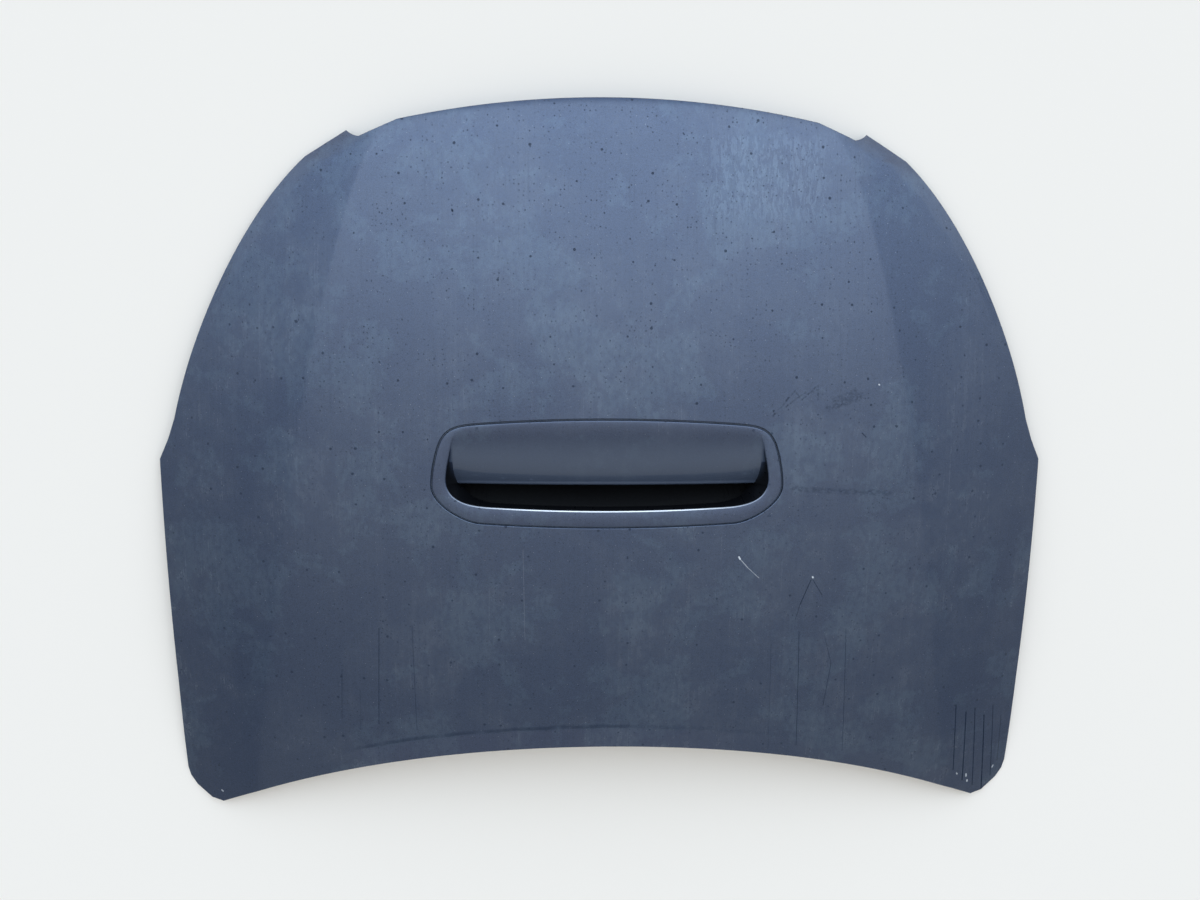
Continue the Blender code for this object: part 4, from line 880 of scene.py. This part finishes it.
def plain_look(name, colour, dust, roughness, metallic, grain, grain_depth, dusty):
    """Plain finish with its own grain, stains and settled dust."""
    made, tree, coords = material(name)
    stain = noise(tree, coords, 14.0, 5.0, 0.6, 0.4)
    fine = noise(tree, coords, grain, 3.0)
    shade = mix(tree, ramp(tree, fine, 0.35, 0.65, 0.0, 0.25), linear(colour), linear(dust))
    shade = mix(tree, ramp(tree, stain, 0.42, 0.70, 0.0, dusty), shade, linear(dust))
    specks = dots(tree, coords, 0.011, 0.0009, 0.4, 2.3)
    shade = mix(tree, calc(tree, "MULTIPLY", specks, 0.6), shade, linear("#15171a"))
    rough = calc(tree, "ADD", calc(tree, "MULTIPLY", ramp(tree, stain, 0.3, 0.7), 0.18), roughness)
    finish_look(tree, Base_Color=shade, Metallic=metallic, Roughness=rough, Normal=bump(tree, fine, grain_depth))
    return made


def wear(node, look):
    """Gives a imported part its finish."""
    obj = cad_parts[node]
    obj.data.materials.clear()
    obj.data.materials.append(look)


frame_paint = plain_look("frame_paint", "#3a465a", "#717780", 0.42, 0.25, 420.0, 0.00004, 0.35)
wear("inner_frame", frame_paint)


# Air duct and rubbers
# The duct is a grained black moulding. Gasket, seals, stops and rod socket are soft black rubber.

duct_plastic = plain_look("duct_plastic", "#0a0a0b", "#1c1d1f", 0.68, 0.0, 900.0, 0.00006, 0.12)
finish_look(duct_plastic.node_tree, Specular_IOR_Level=0.12)
wear("air_duct", duct_plastic)
rubber = plain_look("black_rubber", "#161616", "#46443f", 0.78, 0.0, 700.0, 0.00008, 0.35)
for name in ("vent_gasket", "duct_seal", "buffer_left", "buffer_right", "prop_grommet", "front_seal_left",
             "front_seal_right"):
    wear(name, rubber)


# Fixings, plates and latch striker
# Push nuts, weld nuts, bolts, the hinge and latch plates and the striker loop. They are
# zinc-plated steel with a faint yellow passivation, dulled and stained.

zinc = plain_look("plated_steel", "#b3ae9c", "#77705f", 0.34, 1.0, 300.0, 0.00003, 0.45)
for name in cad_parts:
    if "nut" in name or "bolt" in name or "reinforcement" in name or "striker" in name:
        wear(name, zinc)


# Mastic
# Dabs of grey anti-flutter mastic between skin and frame, and the bead of sealer round the
# intake, both matt and soft-looking.

mastic = plain_look("grey_mastic", "#50514f", "#7b7a74", 0.85, 0.0, 500.0, 0.00015, 0.30)
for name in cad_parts:
    if name.startswith("mastic") or name == "vent_sealer":
        wear(name, mastic)


# Studio
# A pale floor, a soft dome that is brighter ahead of the nose edge, and a view from above the
# nose, looking down and back over the panel.


def build_floor():
    made, tree, _ = material("studio_floor")
    finish_look(tree, Base_Color=linear("#f2e7da"), Roughness=0.9)
    work = bmesh.new()
    corners = [work.verts.new((x, y, 0.0)) for x, y in ((-14, -14), (14, -14), (14, 14), (-14, 14))]
    work.faces.new(corners)
    floor = keep("floor", work, made)


def build_dome():
    world = bpy.data.worlds.new("studio_dome")
    bpy.context.scene.world = world
    world.use_nodes = True
    tree = world.node_tree
    direction = add(tree, "ShaderNodeTexCoord", {}, {}).outputs["Generated"]
    axes = add(tree, "ShaderNodeSeparateXYZ", {}, {0: direction})
    across, along_y = axes.outputs[:2]
    ahead = ramp(tree, along_y, -0.25, 0.45)
    level = calc(tree, "ADD", 0.64, calc(tree, "MULTIPLY", ramp(tree, along_y, -0.62, -0.2), 0.48))
    level = calc(tree, "ADD", level, calc(tree, "MULTIPLY", ahead, 1.78))
    level = calc(tree, "MULTIPLY", level, ramp(tree, along_y, 0.78, 0.93, 1.0, 0.34))
    level = calc(tree, "MULTIPLY", level, ramp(tree, across, -0.43, -0.61, 1.0, 0.54))
    level = calc(tree, "MULTIPLY", level, ramp(tree, across, 0.50, 0.69, 1.0, 0.60))
    level = calc(tree, "MULTIPLY", level, ramp(tree, calc(tree, "ABSOLUTE", across), 0.91, 0.98, 1.0, 0.40))
    colour = mix(tree, ahead, linear("#cfd0cc"), linear("#d8eaff"))
    shell = tree.nodes["Background"]
    tree.links.new(colour, shell.inputs["Color"])
    tree.links.new(level, shell.inputs["Strength"])


def build_camera():
    lens = bpy.data.cameras.new("camera")
    lens.sensor_width = 36.0
    lens.lens = 38.52
    lens.clip_end = 50.0
    camera = bpy.data.objects.new("camera", lens)
    bpy.context.scene.collection.objects.link(camera)
    pitch, yaw, roll = (math.radians(a) for a in (14.741, 2.225, -0.575))
    turn = Matrix.Rotation(roll, 3, "Z") @ Matrix.Rotation(pitch, 3, "X") @ Matrix.Rotation(yaw, 3, "Y")
    camera.matrix_world = Matrix.Translation((-0.0906, 0.5963, 2.1317)) @ turn.transposed().to_4x4()
    bpy.context.scene.camera = camera


build_floor()
build_dome()
build_camera()
bpy.context.scene.view_settings.view_transform = "Standard"
